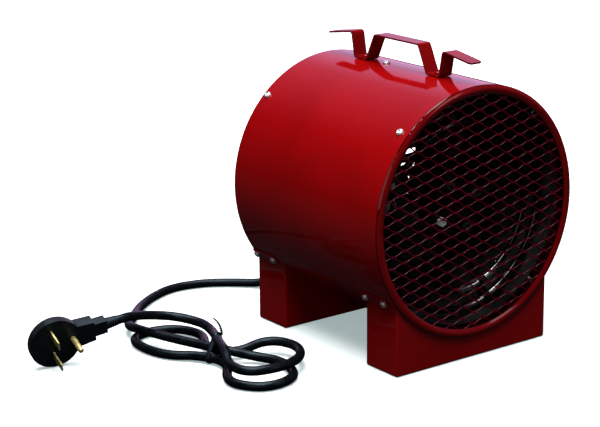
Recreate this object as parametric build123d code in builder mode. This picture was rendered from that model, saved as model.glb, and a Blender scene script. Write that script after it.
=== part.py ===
from build123d import *

import math
import os

# Portable electric forced air heater. Millimetres, +Z up, the floor at z = 0.
# The drum lies along Y with its mouth towards -Y, and the origin is on the floor under its middle.
# Angles round the drum start at +X and grow towards +Z, so 90 is the top.

os.makedirs("parts", exist_ok=True)

# ---------------------------------------------------------------- driving dimensions
# Fits
touch = 0.05  # between pieces that seat on each other on a curve
slip = 0.3  # between a piece and the sleeve it slides into
hole_slip = 0.25  # radial, round the shank of a screw
shaft_slip = 0.05  # radial, round a turning shaft

# Drum
drum_radius = 152.4
drum_wall = 1.2
drum_length = 277.0
drum_clearance = 28.0  # under the drum
top_angle = 90
bottom_angle = 270

# Rolled rings in both mouths of the drum
ring_sheet = 0.9
ring_skirt = 18.5
ring_lap = 0.7  # between the drum's edge and the ring's outer lip
ring_bead = 3.5  # how far the bead stands out past the drum's edge
ring_crest_inset = 5.4  # from the drum's radius
ring_mouth_inset = 11.4
ring_tip_rise = 0.1  # of the bead's inner edge, over its outer lip
ring_hem_rise = 0.4

# Expanded-metal grille
grille_inset = 4.0  # from the ring's skirt
grille_rim = 2.5
grille_sheet = 1.2
mesh_long = 34.7  # long way of the diamond
mesh_short = 14.35  # short way of the diamond
mesh_hole_long = 28.6
mesh_hole_short = 11.2
mesh_hole_top = 5.0  # flat at the hole's widest place
mesh_turn = -8.8
mesh_shift = 1.1

# Screws
screw_head = 9.4
screw_head_height = 2.8
screw_head_fillet = 1.96
screw_recess_length = 4.7
screw_recess_width = 1.2
screw_recess_depth = 1.26
screw_shank = 4.8
screw_length = 11.0
mouth_screw_angles = (46, 134, 226, 314)
front_screw_inset = 13.8  # from the drum's end
rear_screw_inset = 7.7

# Handle: one bent strap, which is also the cord hooks
strap_width = 19.0
strap_sheet = 2.2
strap_bend = 4.2
strap_tip_fillet = 4.0
handle_height = 35.4
handle_top_half = 41.0
handle_base_inner = 57.0
handle_base_outer = 79.5
hook_root = 85.5
hook_height = 33.5
hook_tip = 134.0
hook_tip_height = 26.0

# Feet
foot_inset = 2.55  # from the flange's middle on the drum to the foot's side
foot_depth = 57.5
foot_sheet = 1.5
foot_bend = 3.0
foot_flange_width = 15.0
foot_flange_length = 46.0
foot_flange_angle = 37.5  # below the horizontal
foot_screw_angle = 37.7
foot_screw_edge = 3.5  # from the foot's rear edge
foot_screw_pitch = 33.8
front_foot_inset = 1.6  # from the drum's front end
rear_foot_overhang = 0.5  # past the drum's rear end

# Liner round the heating elements
liner_inset = 12.9  # from the drum's radius
liner_wall = 0.8
liner_front_inset = 10.5  # from the drum's front end
liner_bracket_angles = (25, 155, 205, 335)
liner_bracket_front = 28.0  # from the liner's front
liner_bracket_rear = 34.1  # from the liner's rear
liner_bracket_width = 16.0
liner_bracket_foot = 10.0
liner_bracket_sheet = 1.0
liner_bracket_bend = 1.5

# Heating elements
element_tube = 8.0
element_depth = 28.5  # of the rings, behind the drum's front end
element_inset = 13.2  # from the liner's radius to the outer ring
element_pitch = 23.3  # between the two rings
element_gap_angle = 155.0
element_gap_half = 16.0
element_bend = 12.0
element_leg = 26.0
insulator_radius = 6.0
insulator_length = 10.0
stud_radius = 2.0
stud_length = 8.0

# Cross that carries the elements
cross_angles = (20, 110, 200, 290)
cross_gap = 0.1  # behind the rings
cross_hub_radius = 38.0
cross_hub_bore = 12.0
cross_arm_width = 14.0
cross_sheet = 1.5
cross_tab = 12.0
cross_nut_circle = 30.2
cross_nut_angle = 206.7
cross_nut_radius = 5.8
cross_nut_height = 5.0
cross_nut_bore = 2.8
cross_nut_bore_depth = 3.0
cross_nut_collar = 3.4
clamp_sheet = 1.1
clamp_width = 10.0
clamp_reach = 11.0

# Fan
fan_inset = 32.9  # from the drum's radius
fan_behind_shroud = 1.0
fan_blade_count = 5
fan_blade_angle = -2.0
fan_blade_sheet = 1.2
blade_root_radius = 20.0
blade_root_chord = 34.0
blade_root_pitch = 42.0
blade_root_camber = 3.0
blade_middle_inset = 54.5  # from the fan's radius
blade_middle_chord = 58.0
blade_middle_pitch = 32.0
blade_tip_overrun = 1.5  # trimmed to the fan's radius
blade_tip_chord = 84.0
blade_tip_pitch = 21.0
blade_tip_camber = 6.0
fan_disc_radius = 27.0
fan_tip_gap = 4.0
hub_radius = 13.0
hub_length = 16.0
shaft_radius = 4.0
shaft_overhang = 4.0  # in front of the fan
set_screw_radius = 2.5
set_screw_length = 7.5

# Fan shroud
shroud_sheet = 1.2
shroud_inset = 121.5  # from the drum's rear end
shroud_depth = 14.0
shroud_bend = 6.0

# Motor and its bracket
motor_radius = 42.0
motor_behind_shroud = 29.0
motor_length = 60.0
motor_end_fillet = 9.0
motor_boss_radius = 14.0
motor_boss_length = 6.0
motor_bore_depth = 20.0
motor_slot_count = 12
motor_slot_place = 23.0
motor_slot_length = 14.7
motor_slot_width = 4.0
motor_slot_depth = 3.0
motor_stud_place = 29.0
motor_stud_end = 2.0  # past the nut
motor_nut_radius = 5.2
motor_nut_height = 4.0
bracket_width = 40.0
bracket_sheet = 2.4
bracket_bend = 4.0
bracket_behind_shroud = 2.5
bracket_screw_edge = 9.0  # from the flange's front

# Rear guard
guard_sheet = 1.2
guard_inset = 20.5  # from the drum's rear end
guard_flange = 14.0
guard_bend = 4.0
guard_dish_depth = 6.0
guard_outer_slots = 40
guard_inner_slots = 26
guard_outer_inset = 17.4  # from the drum's radius to the slots' outer ends
guard_outer_length = 40.0
guard_outer_width = 9.0
guard_inner_length = 26.0
guard_inner_width = 8.0
guard_rib = 7.0  # between the two rows of slots
guard_dish_rib = 6.0
guard_plain_from = 227
guard_plain_to = 308

# Thermostat
thermostat_x = -50.0
thermostat_rise = 53.4  # of the stem, over the drum's lowest line
thermostat_corner = 3.0
thermostat_size = 38.0
thermostat_depth = 18.0
thermostat_collar = 5.0
stem_radius = 3.0
stem_length = 19.0
stem_inside = 7.0
knob_radius = 17.0
knob_skirt = 4.0
knob_height = 14.0
knob_grip = 9.0
knob_gap = 0.8

# Over-temperature switch, terminal block and wires
limit_radius = 8.0
limit_base_height = 5.1
limit_cap_radius = 6.0
limit_height = 8.5
limit_ear_length = 27.2
limit_ear_sheet = 0.8
limit_angle = 60
limit_behind_front = 68.0  # from the liner's front
block_width = 62.0
block_height = 18.0
block_length = 26.0
block_behind_motor = 25.0  # from the motor's front
block_hole_radius = 2.6
block_hole_depth = 4.0
block_poles = 4
wire_radius = 2.0
wire_bend = 2.5
wire_step = 18.0  # how far behind the studs the wires turn outwards
wire_lift = 3.5  # over the liner
wire_hole = 4.0
supply_radius = 3.5
supply_bend = 10.0
supply_inset = 30.0  # in front of the guard
supply_step = 16.0
supply_angles = (240, 212, 184)

# Cord and its gland
cord_diameter = 11.4
gland_x = 6.0
gland_rise = 28.4  # over the drum's lowest line
gland_shank = 8.0
gland_nut = 12.0
gland_neck_radius = 9.6
gland_end_radius = 8.0
gland_overhang = 1.5  # past the drum's rear end
lead_run = 25.0  # of the cord's straight start

# Hank of the cord: where its waist lies, and the directions of its two halves
waist_x = -256.0
waist_y = 40.0
lay_left = -72.0
lay_right = -64.0
lay_blend = 25.0
layer_middle = 16.55
layer_high = 28.8
corner_share = 0.45  # part of the shorter run that a corner's arc takes
gap_step = 3.0

# Tie round the hank
tie_width = 3.2
tie_sheet = 0.9
tie_low = 1.2
tie_high = 35.2
tie_near = -13.5
tie_far = 23.6
tie_corner = 5.5
tie_tail_radius = 1.3
tie_tail_bend = 5.0
tie_tail_inset = 6.0
tie_tail_steps = ((2.0, 2.0, 7.0), (0.0, 6.0, 13.0), (-6.0, 10.0, 17.0))

# Plug
plug_centre = (-416.6, 132.7, 32.1)
plug_pin_direction = (-0.16, -0.955, -0.25)
plug_cord_direction = (0.959, -0.21, 0.16)
plug_radius = 32.0
plug_depth = 15.0
plug_back_fillet = 6.0
plug_neck_reach = 50.0
plug_neck_root_width = 34.0
plug_neck_end_width = 26.0
plug_neck_thickness = 17.0
plug_sleeve_reach = 66.0
plug_sleeve_root_width = 20.0
plug_sleeve_end_width = 17.0
plug_sleeve_thickness = 14.0
plug_cord_depth = 8.5
blade_apart = 15.5
blade_offset = -3.9
blade_width = 10.0
blade_sheet = 1.8
blade_length = 27.0
blade_root = 9.0
ground_place = 21.7
ground_radius = 3.5
ground_length = 29.0
ground_tip_fillet = 3.15

# ---------------------------------------------------------------- places worked out from them
axis_height = drum_clearance + drum_radius
drum_inner = drum_radius - drum_wall
drum_end = drum_length / 2
drum_top = axis_height + drum_radius
front_screw_place = drum_end - front_screw_inset
rear_screw_place = drum_end - rear_screw_inset
front_foot_rear_edge = front_foot_inset + foot_depth - drum_end
rear_foot_rear_edge = drum_end + rear_foot_overhang
liner_front = liner_front_inset - drum_end
element_place = element_depth - drum_end
shroud_place = drum_end - shroud_inset
fan_place = shroud_place + fan_behind_shroud
shaft_front = fan_place - shaft_overhang
motor_front = shroud_place + motor_behind_shroud
bracket_flange_front = shroud_place + bracket_behind_shroud
bracket_screw_place = bracket_flange_front + bracket_screw_edge
block_place = motor_front + block_behind_motor
limit_place = liner_front + limit_behind_front
guard_place = drum_end - guard_inset
supply_place = guard_place - supply_inset
gland_end = drum_end + gland_overhang
liner_radius = drum_radius - liner_inset
element_outer_radius = liner_radius - element_inset
element_inner_radius = element_outer_radius - element_pitch
fan_radius = drum_radius - fan_inset
wire_ring = liner_radius + wire_lift  # radius at which the wires run between liner and drum
thermostat_z = thermostat_rise - drum_radius  # from the drum's axis
gland_z = gland_rise - drum_radius  # from the drum's axis
drum_axis = Axis((0, 0, axis_height), (0, 1, 0))
radius_plane = Plane.XY.offset(axis_height)  # local x is the radius, local y is Y


def across(place):
    """Plane across the drum at y = place, seen from the front: local x is +X, local y is +Z."""
    return Plane(origin=(0, place, axis_height), x_dir=(1, 0, 0), z_dir=(0, -1, 0))


def at(angle, radius, place):
    """Point at an angle round the drum's axis."""
    turn = math.radians(angle)
    return Vector(radius * math.cos(turn), place, axis_height + radius * math.sin(turn))


def outward(angle):
    """Direction away from the drum's axis."""
    return Vector(math.cos(math.radians(angle)), 0, math.sin(math.radians(angle)))


def tangent(angle):
    """Direction round the drum's axis, towards growing angles."""
    return Vector(-math.sin(math.radians(angle)), 0, math.cos(math.radians(angle)))


def skin(angle, place, radius=drum_radius):
    """Plane that touches a cylinder round the drum's axis and faces outwards; local x is +Y."""
    return Plane(origin=at(angle, radius, place), x_dir=(0, 1, 0), z_dir=outward(angle))


def around(angles):
    """Locations that turn a piece modelled at +X round the drum's axis."""
    pivot = Location((0, 0, axis_height))
    return [pivot * Location((0, 0, 0), (0, -angle, 0)) * pivot.inverse() for angle in angles]


def flat_inside(radius, half_width):
    """Distance from the axis of a flat face whose corners just clear a bore of this radius."""
    return math.sqrt((radius - touch) ** 2 - half_width**2)


def finish(piece, name):
    """Label a finished piece and write it."""
    piece.part.label = name
    export_step(piece.part, f"parts/{name}.step")


foot_screw_spots = [
    (angle, edge - foot_screw_edge - step)
    for angle in (-foot_screw_angle, 180 + foot_screw_angle)
    for edge in (front_foot_rear_edge, rear_foot_rear_edge)
    for step in (0, foot_screw_pitch)
]
handle_screw_place = (handle_base_inner + handle_base_outer) / 2
strap_seat = drum_radius + touch
foot_flange_seat = drum_radius + touch
drum_hole_spots = (
    [(angle, -front_screw_place) for angle in mouth_screw_angles]
    + [(angle, rear_screw_place) for angle in mouth_screw_angles]
    + [(angle, bracket_screw_place) for angle in (top_angle, bottom_angle)]
    + [(top_angle, side * handle_screw_place) for side in (-1, 1)]
    + foot_screw_spots
)
shank_hole = screw_shank / 2 + hole_slip

# ---------------------------------------------------------------- drum
with BuildPart() as housing_drum:
    with BuildSketch(across(drum_end)):
        Circle(drum_radius)
        Circle(drum_inner, mode=Mode.SUBTRACT)
    extrude(amount=drum_length)
    with Locations(*[skin(angle, place) for angle, place in drum_hole_spots]):
        Hole(shank_hole, depth=3 * drum_wall)
finish(housing_drum, "housing_drum")


# ---------------------------------------------------------------- rings in the two mouths
skirt_radius = drum_inner - slip
ring_crest = drum_radius - ring_crest_inset
ring_mouth = drum_radius - ring_mouth_inset
bead_top = drum_end + ring_bead
lip_place = drum_end + ring_lap


def mouth_ring(side, screw_place):
    """Rolled ring of one mouth: side is -1 at the front and 1 at the rear."""
    with BuildPart() as ring:
        with BuildSketch(radius_plane):
            with BuildLine():
                start = (skirt_radius - ring_sheet, side * (lip_place - ring_skirt))
                corner = (skirt_radius, side * (lip_place - ring_skirt))
                neck = (skirt_radius, side * lip_place)
                lip = (drum_radius, side * lip_place)
                crest = (ring_crest, side * bead_top)
                tip = (ring_mouth, side * (lip_place + ring_tip_rise))
                tip_back = (ring_mouth + ring_sheet, side * (lip_place + ring_tip_rise))
                under_crest = (ring_crest, side * (bead_top - ring_sheet))
                under_lip = (skirt_radius - ring_sheet, side * (lip_place + ring_hem_rise))
                Polyline(start, corner, neck, lip)
                TangentArc(crest, lip, tangent=(1, 0))
                TangentArc(crest, tip, tangent=(-1, 0))
                Line(tip, tip_back)
                TangentArc(under_crest, tip_back, tangent=(-1, 0))
                TangentArc(under_crest, under_lip, tangent=(1, 0))
                Line(under_lip, start)
            make_face()
        revolve(axis=drum_axis)
        spots = [(angle, side * screw_place) for angle in mouth_screw_angles]
        spots += [spot for spot in foot_screw_spots if side * spot[1] > lip_place - ring_skirt]
        with Locations(*[skin(angle, place) for angle, place in spots]):
            Hole(shank_hole, depth=6 * drum_wall)
    return ring


front_ring = mouth_ring(-1, front_screw_place)
finish(front_ring, "front_ring")
rear_ring = mouth_ring(1, rear_screw_place)
finish(rear_ring, "rear_ring")

# ---------------------------------------------------------------- expanded-metal grille
grille_front = lip_place + ring_tip_rise - slip
grille_radius = skirt_radius - ring_sheet - grille_inset
mesh_radius = grille_radius - grille_rim


def mesh_spots():
    """Middles of the diamond holes that lie inside the rim."""
    turn = math.radians(mesh_turn)
    columns = int(2 * grille_radius / mesh_long) + 2
    rows = int(2 * grille_radius / mesh_short) + 2
    spots = []
    for column in range(-columns, columns + 1):
        for row in range(-rows, rows + 1):
            along = column * mesh_long / 2 + mesh_shift
            aside = row * mesh_short / 2
            if (column + row) % 2 and math.hypot(along, aside) < mesh_radius + mesh_hole_top / 2:
                x = along * math.cos(turn) - aside * math.sin(turn)
                y = along * math.sin(turn) + aside * math.cos(turn)
                spots.append((x, y))
    return spots


with BuildPart() as front_grille:
    with BuildSketch(across(grille_sheet - grille_front)):
        Circle(grille_radius)
        with BuildSketch(mode=Mode.PRIVATE) as mesh_holes:
            with Locations(*[Location((x, y, 0), (0, 0, mesh_turn)) for x, y in mesh_spots()]):
                Polygon(
                    (-mesh_hole_long / 2, 0),
                    (-mesh_hole_top / 2, -mesh_hole_short / 2),
                    (mesh_hole_top / 2, -mesh_hole_short / 2),
                    (mesh_hole_long / 2, 0),
                    (mesh_hole_top / 2, mesh_hole_short / 2),
                    (-mesh_hole_top / 2, mesh_hole_short / 2),
                    align=None,
                )
            Circle(mesh_radius, mode=Mode.INTERSECT)
        add(mesh_holes.sketch, mode=Mode.SUBTRACT)
    extrude(amount=grille_sheet)
finish(front_grille, "front_grille")

# ---------------------------------------------------------------- screws
with BuildPart() as pan_screw:
    with BuildSketch():
        Circle(screw_head / 2)
    extrude(amount=screw_head_height)
    fillet(pan_screw.faces().sort_by(Axis.Z)[-1].edges(), screw_head_fillet)
    with BuildSketch(Plane.XY.offset(screw_head_height)):
        Rectangle(screw_recess_length, screw_recess_width)
        Rectangle(screw_recess_width, screw_recess_length)
    extrude(amount=-screw_recess_depth, mode=Mode.SUBTRACT)
    with BuildSketch():
        Circle(screw_shank / 2)
    extrude(amount=-screw_length)


def screw_group(name, planes):
    """Pan-head screws with their heads on these planes, as one node."""
    with BuildPart() as screws:
        with Locations(*planes):
            add(pan_screw.part)
    finish(screws, name)


head_seat = drum_radius + touch
screw_group(
    "drum_screws_front",
    [skin(angle, -front_screw_place, head_seat) for angle in mouth_screw_angles],
)
screw_group(
    "drum_screws_rear",
    [skin(angle, rear_screw_place, head_seat) for angle in mouth_screw_angles],
)
screw_group(
    "bracket_screws",
    [skin(angle, bracket_screw_place, head_seat) for angle in (top_angle, bottom_angle)],
)
handle_head_seat = strap_seat + strap_sheet + touch
screw_group(
    "handle_screws",
    [skin(top_angle, side * handle_screw_place, handle_head_seat) for side in (-1, 1)],
)
for name, side in (("foot_screws_front", -1), ("foot_screws_rear", 1)):
    screw_group(
        name,
        [
            skin(angle, place, foot_flange_seat + foot_sheet + touch)
            for angle, place in foot_screw_spots
            if side * place > 0
        ],
    )

# ---------------------------------------------------------------- handle strap
strap_middle = strap_sheet / 2
strap_half = [
    (handle_top_half, handle_height - strap_middle),
    (handle_base_inner, strap_middle + touch),
    (handle_base_outer, strap_middle + touch),
    (hook_root, hook_height - strap_middle),
    (hook_tip, hook_tip_height - strap_middle),
]
strap_path = [(-y, drum_top + height) for y, height in reversed(strap_half)]
strap_path += [(y, drum_top + height) for y, height in strap_half]

with BuildPart() as handle_strap:
    with BuildSketch(Plane.YZ):
        with BuildLine():
            FilletPolyline(*strap_path, radius=strap_bend)
        trace(line_width=strap_sheet)
    extrude(amount=strap_width / 2, both=True)
    for side in (0, -1):
        tip = handle_strap.faces().sort_by(Axis.Y)[side]
        fillet(tip.edges().sort_by(SortBy.LENGTH)[:2], strap_tip_fillet)
    with Locations(*[skin(top_angle, side * handle_screw_place, handle_head_seat) for side in (-1, 1)]):
        Hole(shank_hole, depth=2 * strap_sheet)
finish(handle_strap, "handle_strap")

# ---------------------------------------------------------------- feet
foot_half_width = drum_radius * math.cos(math.radians(foot_flange_angle)) - foot_inset
foot_top = axis_height - math.sqrt(drum_radius**2 - foot_half_width**2)


def saddle_foot(rear_edge):
    """Folded foot under the drum, open where the drum lies in it."""
    middle = rear_edge - foot_depth / 2
    with BuildPart() as foot:
        with BuildSketch(Plane.XY):
            with Locations((0, middle)):
                Rectangle(2 * foot_half_width, foot_depth)
        extrude(amount=foot_top)
        fillet(foot.edges().filter_by(Axis.Z), foot_bend)
        fillet(foot.faces().sort_by(Axis.Z)[0].edges(), foot_bend)
        offset(amount=-foot_sheet, openings=foot.faces().sort_by(Axis.Z)[-1])
        for angle in (-foot_flange_angle, 180 + foot_flange_angle):
            with BuildSketch(skin(angle, rear_edge - foot_flange_length / 2, foot_flange_seat)):
                Rectangle(foot_flange_length, foot_flange_width)
            extrude(amount=foot_sheet)
        with BuildSketch(across(rear_edge + foot_depth)):
            Circle(foot_flange_seat)
        extrude(amount=3 * foot_depth, mode=Mode.SUBTRACT)
        spots = [spot for spot in foot_screw_spots if abs(spot[1] - middle) < foot_depth / 2]
        with Locations(*[skin(a, y, foot_flange_seat + foot_sheet) for a, y in spots]):
            Hole(shank_hole, depth=2 * foot_sheet)
    return foot


front_foot = saddle_foot(front_foot_rear_edge)
finish(front_foot, "front_foot")
rear_foot = saddle_foot(rear_foot_rear_edge)
finish(rear_foot, "rear_foot")

# ---------------------------------------------------------------- liner and its stand-offs
liner_rear = shroud_place - shroud_sheet / 2 - slip
liner_inner = liner_radius - liner_wall
stud_end = element_place + element_bend + element_leg + insulator_length + stud_length
wire_turn_place = stud_end + wire_step


def element_leg_point(radius, side, place):
    """Middle of an element's leg: side is 1 or -1 of the gap in the ring."""
    angle = element_gap_angle + side * element_gap_half
    return at(angle, radius, place) - tangent(angle) * side * element_bend


def wire_angle(radius, side):
    """Angle round the drum at which the wire of a leg runs."""
    spot = element_leg_point(radius, side, 0)
    return math.degrees(math.atan2(spot.Z - axis_height, spot.X))


wire_feeds = ((element_outer_radius, 1), (element_inner_radius, -1))
wire_angles = [wire_angle(radius, side) for radius, side in wire_feeds]

with BuildPart() as heat_liner:
    with BuildSketch(across(liner_rear)):
        Circle(liner_radius)
        Circle(liner_inner, mode=Mode.SUBTRACT)
    extrude(amount=liner_rear - liner_front)
    with Locations(*[skin(angle, wire_turn_place, liner_radius) for angle in wire_angles]):
        Hole(wire_hole, depth=4 * liner_wall)
finish(heat_liner, "heat_liner")

bracket_foot_low = liner_radius + touch + liner_bracket_sheet / 2
bracket_foot_high = flat_inside(drum_inner, liner_bracket_width / 2) - liner_bracket_sheet / 2
liner_bracket_places = (liner_front + liner_bracket_front, liner_rear - liner_bracket_rear)
with BuildPart() as liner_brackets:
    with Locations(*around(liner_bracket_angles)):
        for place in liner_bracket_places:
            with BuildSketch(radius_plane, mode=Mode.PRIVATE) as stand_off:
                with BuildLine():
                    FilletPolyline(
                        (bracket_foot_low, place),
                        (bracket_foot_low, place + liner_bracket_foot),
                        (bracket_foot_high, place + liner_bracket_foot),
                        (bracket_foot_high, place + 2 * liner_bracket_foot),
                        radius=liner_bracket_bend,
                    )
                trace(line_width=liner_bracket_sheet)
            add(extrude(stand_off.sketch, amount=liner_bracket_width / 2, both=True, mode=Mode.PRIVATE))
finish(liner_brackets, "liner_brackets")


# ---------------------------------------------------------------- heating elements
def element(radius):
    """Sheathed ring with both cold ends bent back along the drum."""
    first = element_gap_angle + element_gap_half
    last = element_gap_angle + 360 - element_gap_half
    back = Vector(0, element_bend + element_leg, 0)
    ends = [element_leg_point(radius, side, element_place) for side in (1, -1)]
    bends = [end + Vector(0, element_bend, 0) for end in ends]
    with BuildPart() as ring:
        with BuildLine() as route:
            Line(ends[0] + back, bends[0])
            TangentArc(bends[0], at(first, radius, element_place), tangent=(0, -1, 0))
            ThreePointArc(
                at(first, radius, element_place),
                at((first + last) / 2, radius, element_place),
                at(last, radius, element_place),
            )
            TangentArc(at(last, radius, element_place), bends[1], tangent=tangent(last))
            Line(bends[1], ends[1] + back)
        with BuildSketch(Plane(origin=ends[0] + back, z_dir=(0, -1, 0))):
            Circle(element_tube / 2)
        sweep(path=route.wire())
    return ring


element_outer = element(element_outer_radius)
finish(element_outer, "element_outer")
element_inner = element(element_inner_radius)
finish(element_inner, "element_inner")

leg_end = element_place + element_bend + element_leg
with BuildPart() as element_terminals:
    for radius in (element_outer_radius, element_inner_radius):
        for side in (1, -1):
            spot = element_leg_point(radius, side, leg_end + insulator_length)
            with BuildSketch(Plane(origin=spot, z_dir=(0, -1, 0))):
                Circle(insulator_radius)
            extrude(amount=insulator_length)
            with BuildSketch(Plane(origin=spot, z_dir=(0, 1, 0))):
                Circle(stud_radius)
            extrude(amount=stud_length)
finish(element_terminals, "element_terminals")

# ---------------------------------------------------------------- cross behind the elements
cross_front = element_place + element_tube / 2 + cross_gap
tab_face = flat_inside(liner_inner, cross_arm_width / 2)
nut_spots = [cross_nut_angle + 90 * count for count in range(4)]
with BuildPart() as element_cross:
    with BuildSketch(across(cross_front + cross_sheet)):
        Circle(cross_hub_radius)
        with PolarLocations(tab_face / 2, len(cross_angles), start_angle=cross_angles[0]):
            Rectangle(tab_face, cross_arm_width)
        Circle(cross_hub_bore, mode=Mode.SUBTRACT)
        with PolarLocations(cross_nut_circle, len(nut_spots), start_angle=cross_nut_angle):
            Circle(cross_nut_collar + hole_slip, mode=Mode.SUBTRACT)
    extrude(amount=cross_sheet)
    with BuildSketch(across(cross_front + cross_tab)):
        with PolarLocations(tab_face - cross_sheet / 2, len(cross_angles), start_angle=cross_angles[0]):
            Rectangle(cross_sheet, cross_arm_width)
    extrude(amount=cross_tab)
finish(element_cross, "element_cross")

with BuildPart() as cross_nuts:
    with BuildSketch(across(cross_front)):
        with PolarLocations(cross_nut_circle, len(nut_spots), start_angle=cross_nut_angle):
            RegularPolygon(cross_nut_radius, 6)
    extrude(amount=cross_nut_height)
    with BuildSketch(across(cross_front + cross_sheet)):
        with PolarLocations(cross_nut_circle, len(nut_spots), start_angle=cross_nut_angle):
            Circle(cross_nut_collar)
    extrude(amount=cross_sheet)
    with BuildSketch(across(cross_front - cross_nut_height)):
        with PolarLocations(cross_nut_circle, len(nut_spots), start_angle=cross_nut_angle):
            Circle(cross_nut_bore)
    extrude(amount=-cross_nut_bore_depth, mode=Mode.SUBTRACT)
finish(cross_nuts, "cross_nuts")

clamp_face = cross_front - touch
clamp_bore = element_tube / 2 + slip
with BuildPart() as element_clamps:
    for radius in (element_outer_radius, element_inner_radius):
        with BuildSketch(radius_plane, mode=Mode.PRIVATE) as saddle:
            with Locations((radius, element_place)):
                Circle(clamp_bore + clamp_sheet)
                Circle(clamp_bore, mode=Mode.SUBTRACT)
            with Locations((radius, clamp_face)):
                Rectangle(
                    4 * clamp_reach, element_tube, align=(Align.CENTER, Align.MIN), mode=Mode.SUBTRACT
                )
            for side in (-1, 1):
                with Locations((radius + side * (clamp_bore + clamp_reach) / 2, clamp_face)):
                    Rectangle(clamp_reach - clamp_bore, clamp_sheet, align=(Align.CENTER, Align.MAX))
        with Locations(*around(cross_angles)):
            add(extrude(saddle.sketch, amount=clamp_width / 2, both=True, mode=Mode.PRIVATE))
finish(element_clamps, "element_clamps")

# ---------------------------------------------------------------- fan shroud
throat_radius = fan_radius + fan_tip_gap
wire_passages = [at(angle, wire_ring, shroud_place + shroud_sheet) for angle in wire_angles]
with BuildPart() as fan_shroud:
    with BuildSketch(radius_plane):
        with BuildLine():
            FilletPolyline(
                (drum_inner - touch - shroud_sheet / 2, shroud_place - shroud_depth),
                (drum_inner - touch - shroud_sheet / 2, shroud_place),
                (throat_radius + shroud_sheet / 2, shroud_place),
                (throat_radius + shroud_sheet / 2, shroud_place - shroud_depth),
                radius=(shroud_sheet, shroud_bend),
            )
        trace(line_width=shroud_sheet)
    revolve(axis=drum_axis)
    with Locations(*[Plane(origin=spot, z_dir=(0, 1, 0)) for spot in wire_passages]):
        Hole(wire_hole, depth=3 * shroud_sheet)
finish(fan_shroud, "fan_shroud")

# ---------------------------------------------------------------- fan
blade_middle_radius = fan_radius - blade_middle_inset
blade_tip_radius = fan_radius + blade_tip_overrun
blade_sections = (
    (blade_root_radius, blade_root_chord, blade_root_pitch, blade_root_camber),
    (blade_middle_radius, blade_middle_chord, blade_middle_pitch, blade_tip_camber),
    (blade_tip_radius, blade_tip_chord, blade_tip_pitch, blade_tip_camber),
)


def blade_section(radius, chord, pitch, camber):
    """Thin curved slice of a blade, on a plane square to its radius."""
    half_sheet = fan_blade_sheet / 2
    with BuildSketch() as flat:
        with BuildLine():
            ThreePointArc((-chord / 2, half_sheet), (0, camber + half_sheet), (chord / 2, half_sheet))
            ThreePointArc((-chord / 2, -half_sheet), (0, camber - half_sheet), (chord / 2, -half_sheet))
            Line((-chord / 2, half_sheet), (-chord / 2, -half_sheet))
            Line((chord / 2, half_sheet), (chord / 2, -half_sheet))
        make_face()
    with BuildSketch(Plane(origin=at(0, radius, fan_place), x_dir=(0, 0, 1), z_dir=(1, 0, 0))) as section:
        add(flat.sketch, rotation=pitch)
    return section


with BuildPart() as blade:
    for section_sizes in blade_sections:
        add(blade_section(*section_sizes).sketch)
    loft()
    with BuildSketch(across(fan_place + fan_radius)):
        Circle(fan_radius)
    extrude(amount=2 * fan_radius, mode=Mode.INTERSECT)

blade_step = 360 / fan_blade_count
with BuildPart() as fan_blades:
    with BuildSketch(across(fan_place + fan_blade_sheet)):
        Circle(fan_disc_radius)
    extrude(amount=2 * fan_blade_sheet)
    with Locations(*around([fan_blade_angle + blade_step * count for count in range(fan_blade_count)])):
        add(blade.part)
    with BuildSketch(across(fan_place + fan_blade_sheet)):
        Circle(shaft_radius + shaft_slip)
    extrude(amount=2 * fan_blade_sheet, mode=Mode.SUBTRACT)
finish(fan_blades, "fan_blades")

hub_front = fan_place + fan_blade_sheet
with BuildPart() as fan_hub:
    with BuildSketch(across(hub_front + hub_length)):
        Circle(hub_radius)
        Circle(shaft_radius + shaft_slip, mode=Mode.SUBTRACT)
    extrude(amount=hub_length)
    with Locations(skin(top_angle, hub_front + hub_length / 2, hub_radius)):
        Hole(set_screw_radius + shaft_slip, depth=hub_radius)
finish(fan_hub, "fan_hub")

with BuildPart() as fan_set_screw:
    with BuildSketch(skin(top_angle, hub_front + hub_length / 2, shaft_radius + shaft_slip)):
        Circle(set_screw_radius)
    extrude(amount=set_screw_length)
finish(fan_set_screw, "fan_set_screw")

# ---------------------------------------------------------------- motor
boss_front = motor_front - motor_boss_length
shaft_rear = boss_front + motor_bore_depth - slip
with BuildPart() as motor_shaft:
    with BuildSketch(across(shaft_rear)):
        Circle(shaft_radius)
    extrude(amount=shaft_rear - shaft_front)
finish(motor_shaft, "motor_shaft")

with BuildPart() as motor_body:
    with BuildSketch(across(motor_front + motor_length)):
        Circle(motor_radius)
    extrude(amount=motor_length)
    fillet(motor_body.edges().filter_by(GeomType.CIRCLE), motor_end_fillet)
    with BuildSketch(across(motor_front)):
        Circle(motor_boss_radius)
    extrude(amount=motor_boss_length)
    with BuildSketch(across(motor_front)):
        with Locations((0, motor_stud_place), (0, -motor_stud_place)):
            Circle(screw_shank / 2)
    extrude(amount=bracket_sheet + touch + motor_nut_height + motor_stud_end)
    with BuildSketch(across(motor_front + motor_length)):
        with PolarLocations(motor_slot_place, motor_slot_count):
            SlotOverall(motor_slot_length, motor_slot_width)
    extrude(amount=motor_slot_depth, mode=Mode.SUBTRACT)
    with BuildSketch(across(boss_front)):
        Circle(shaft_radius + shaft_slip)
    extrude(amount=-motor_bore_depth, mode=Mode.SUBTRACT)
finish(motor_body, "motor_body")

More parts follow.
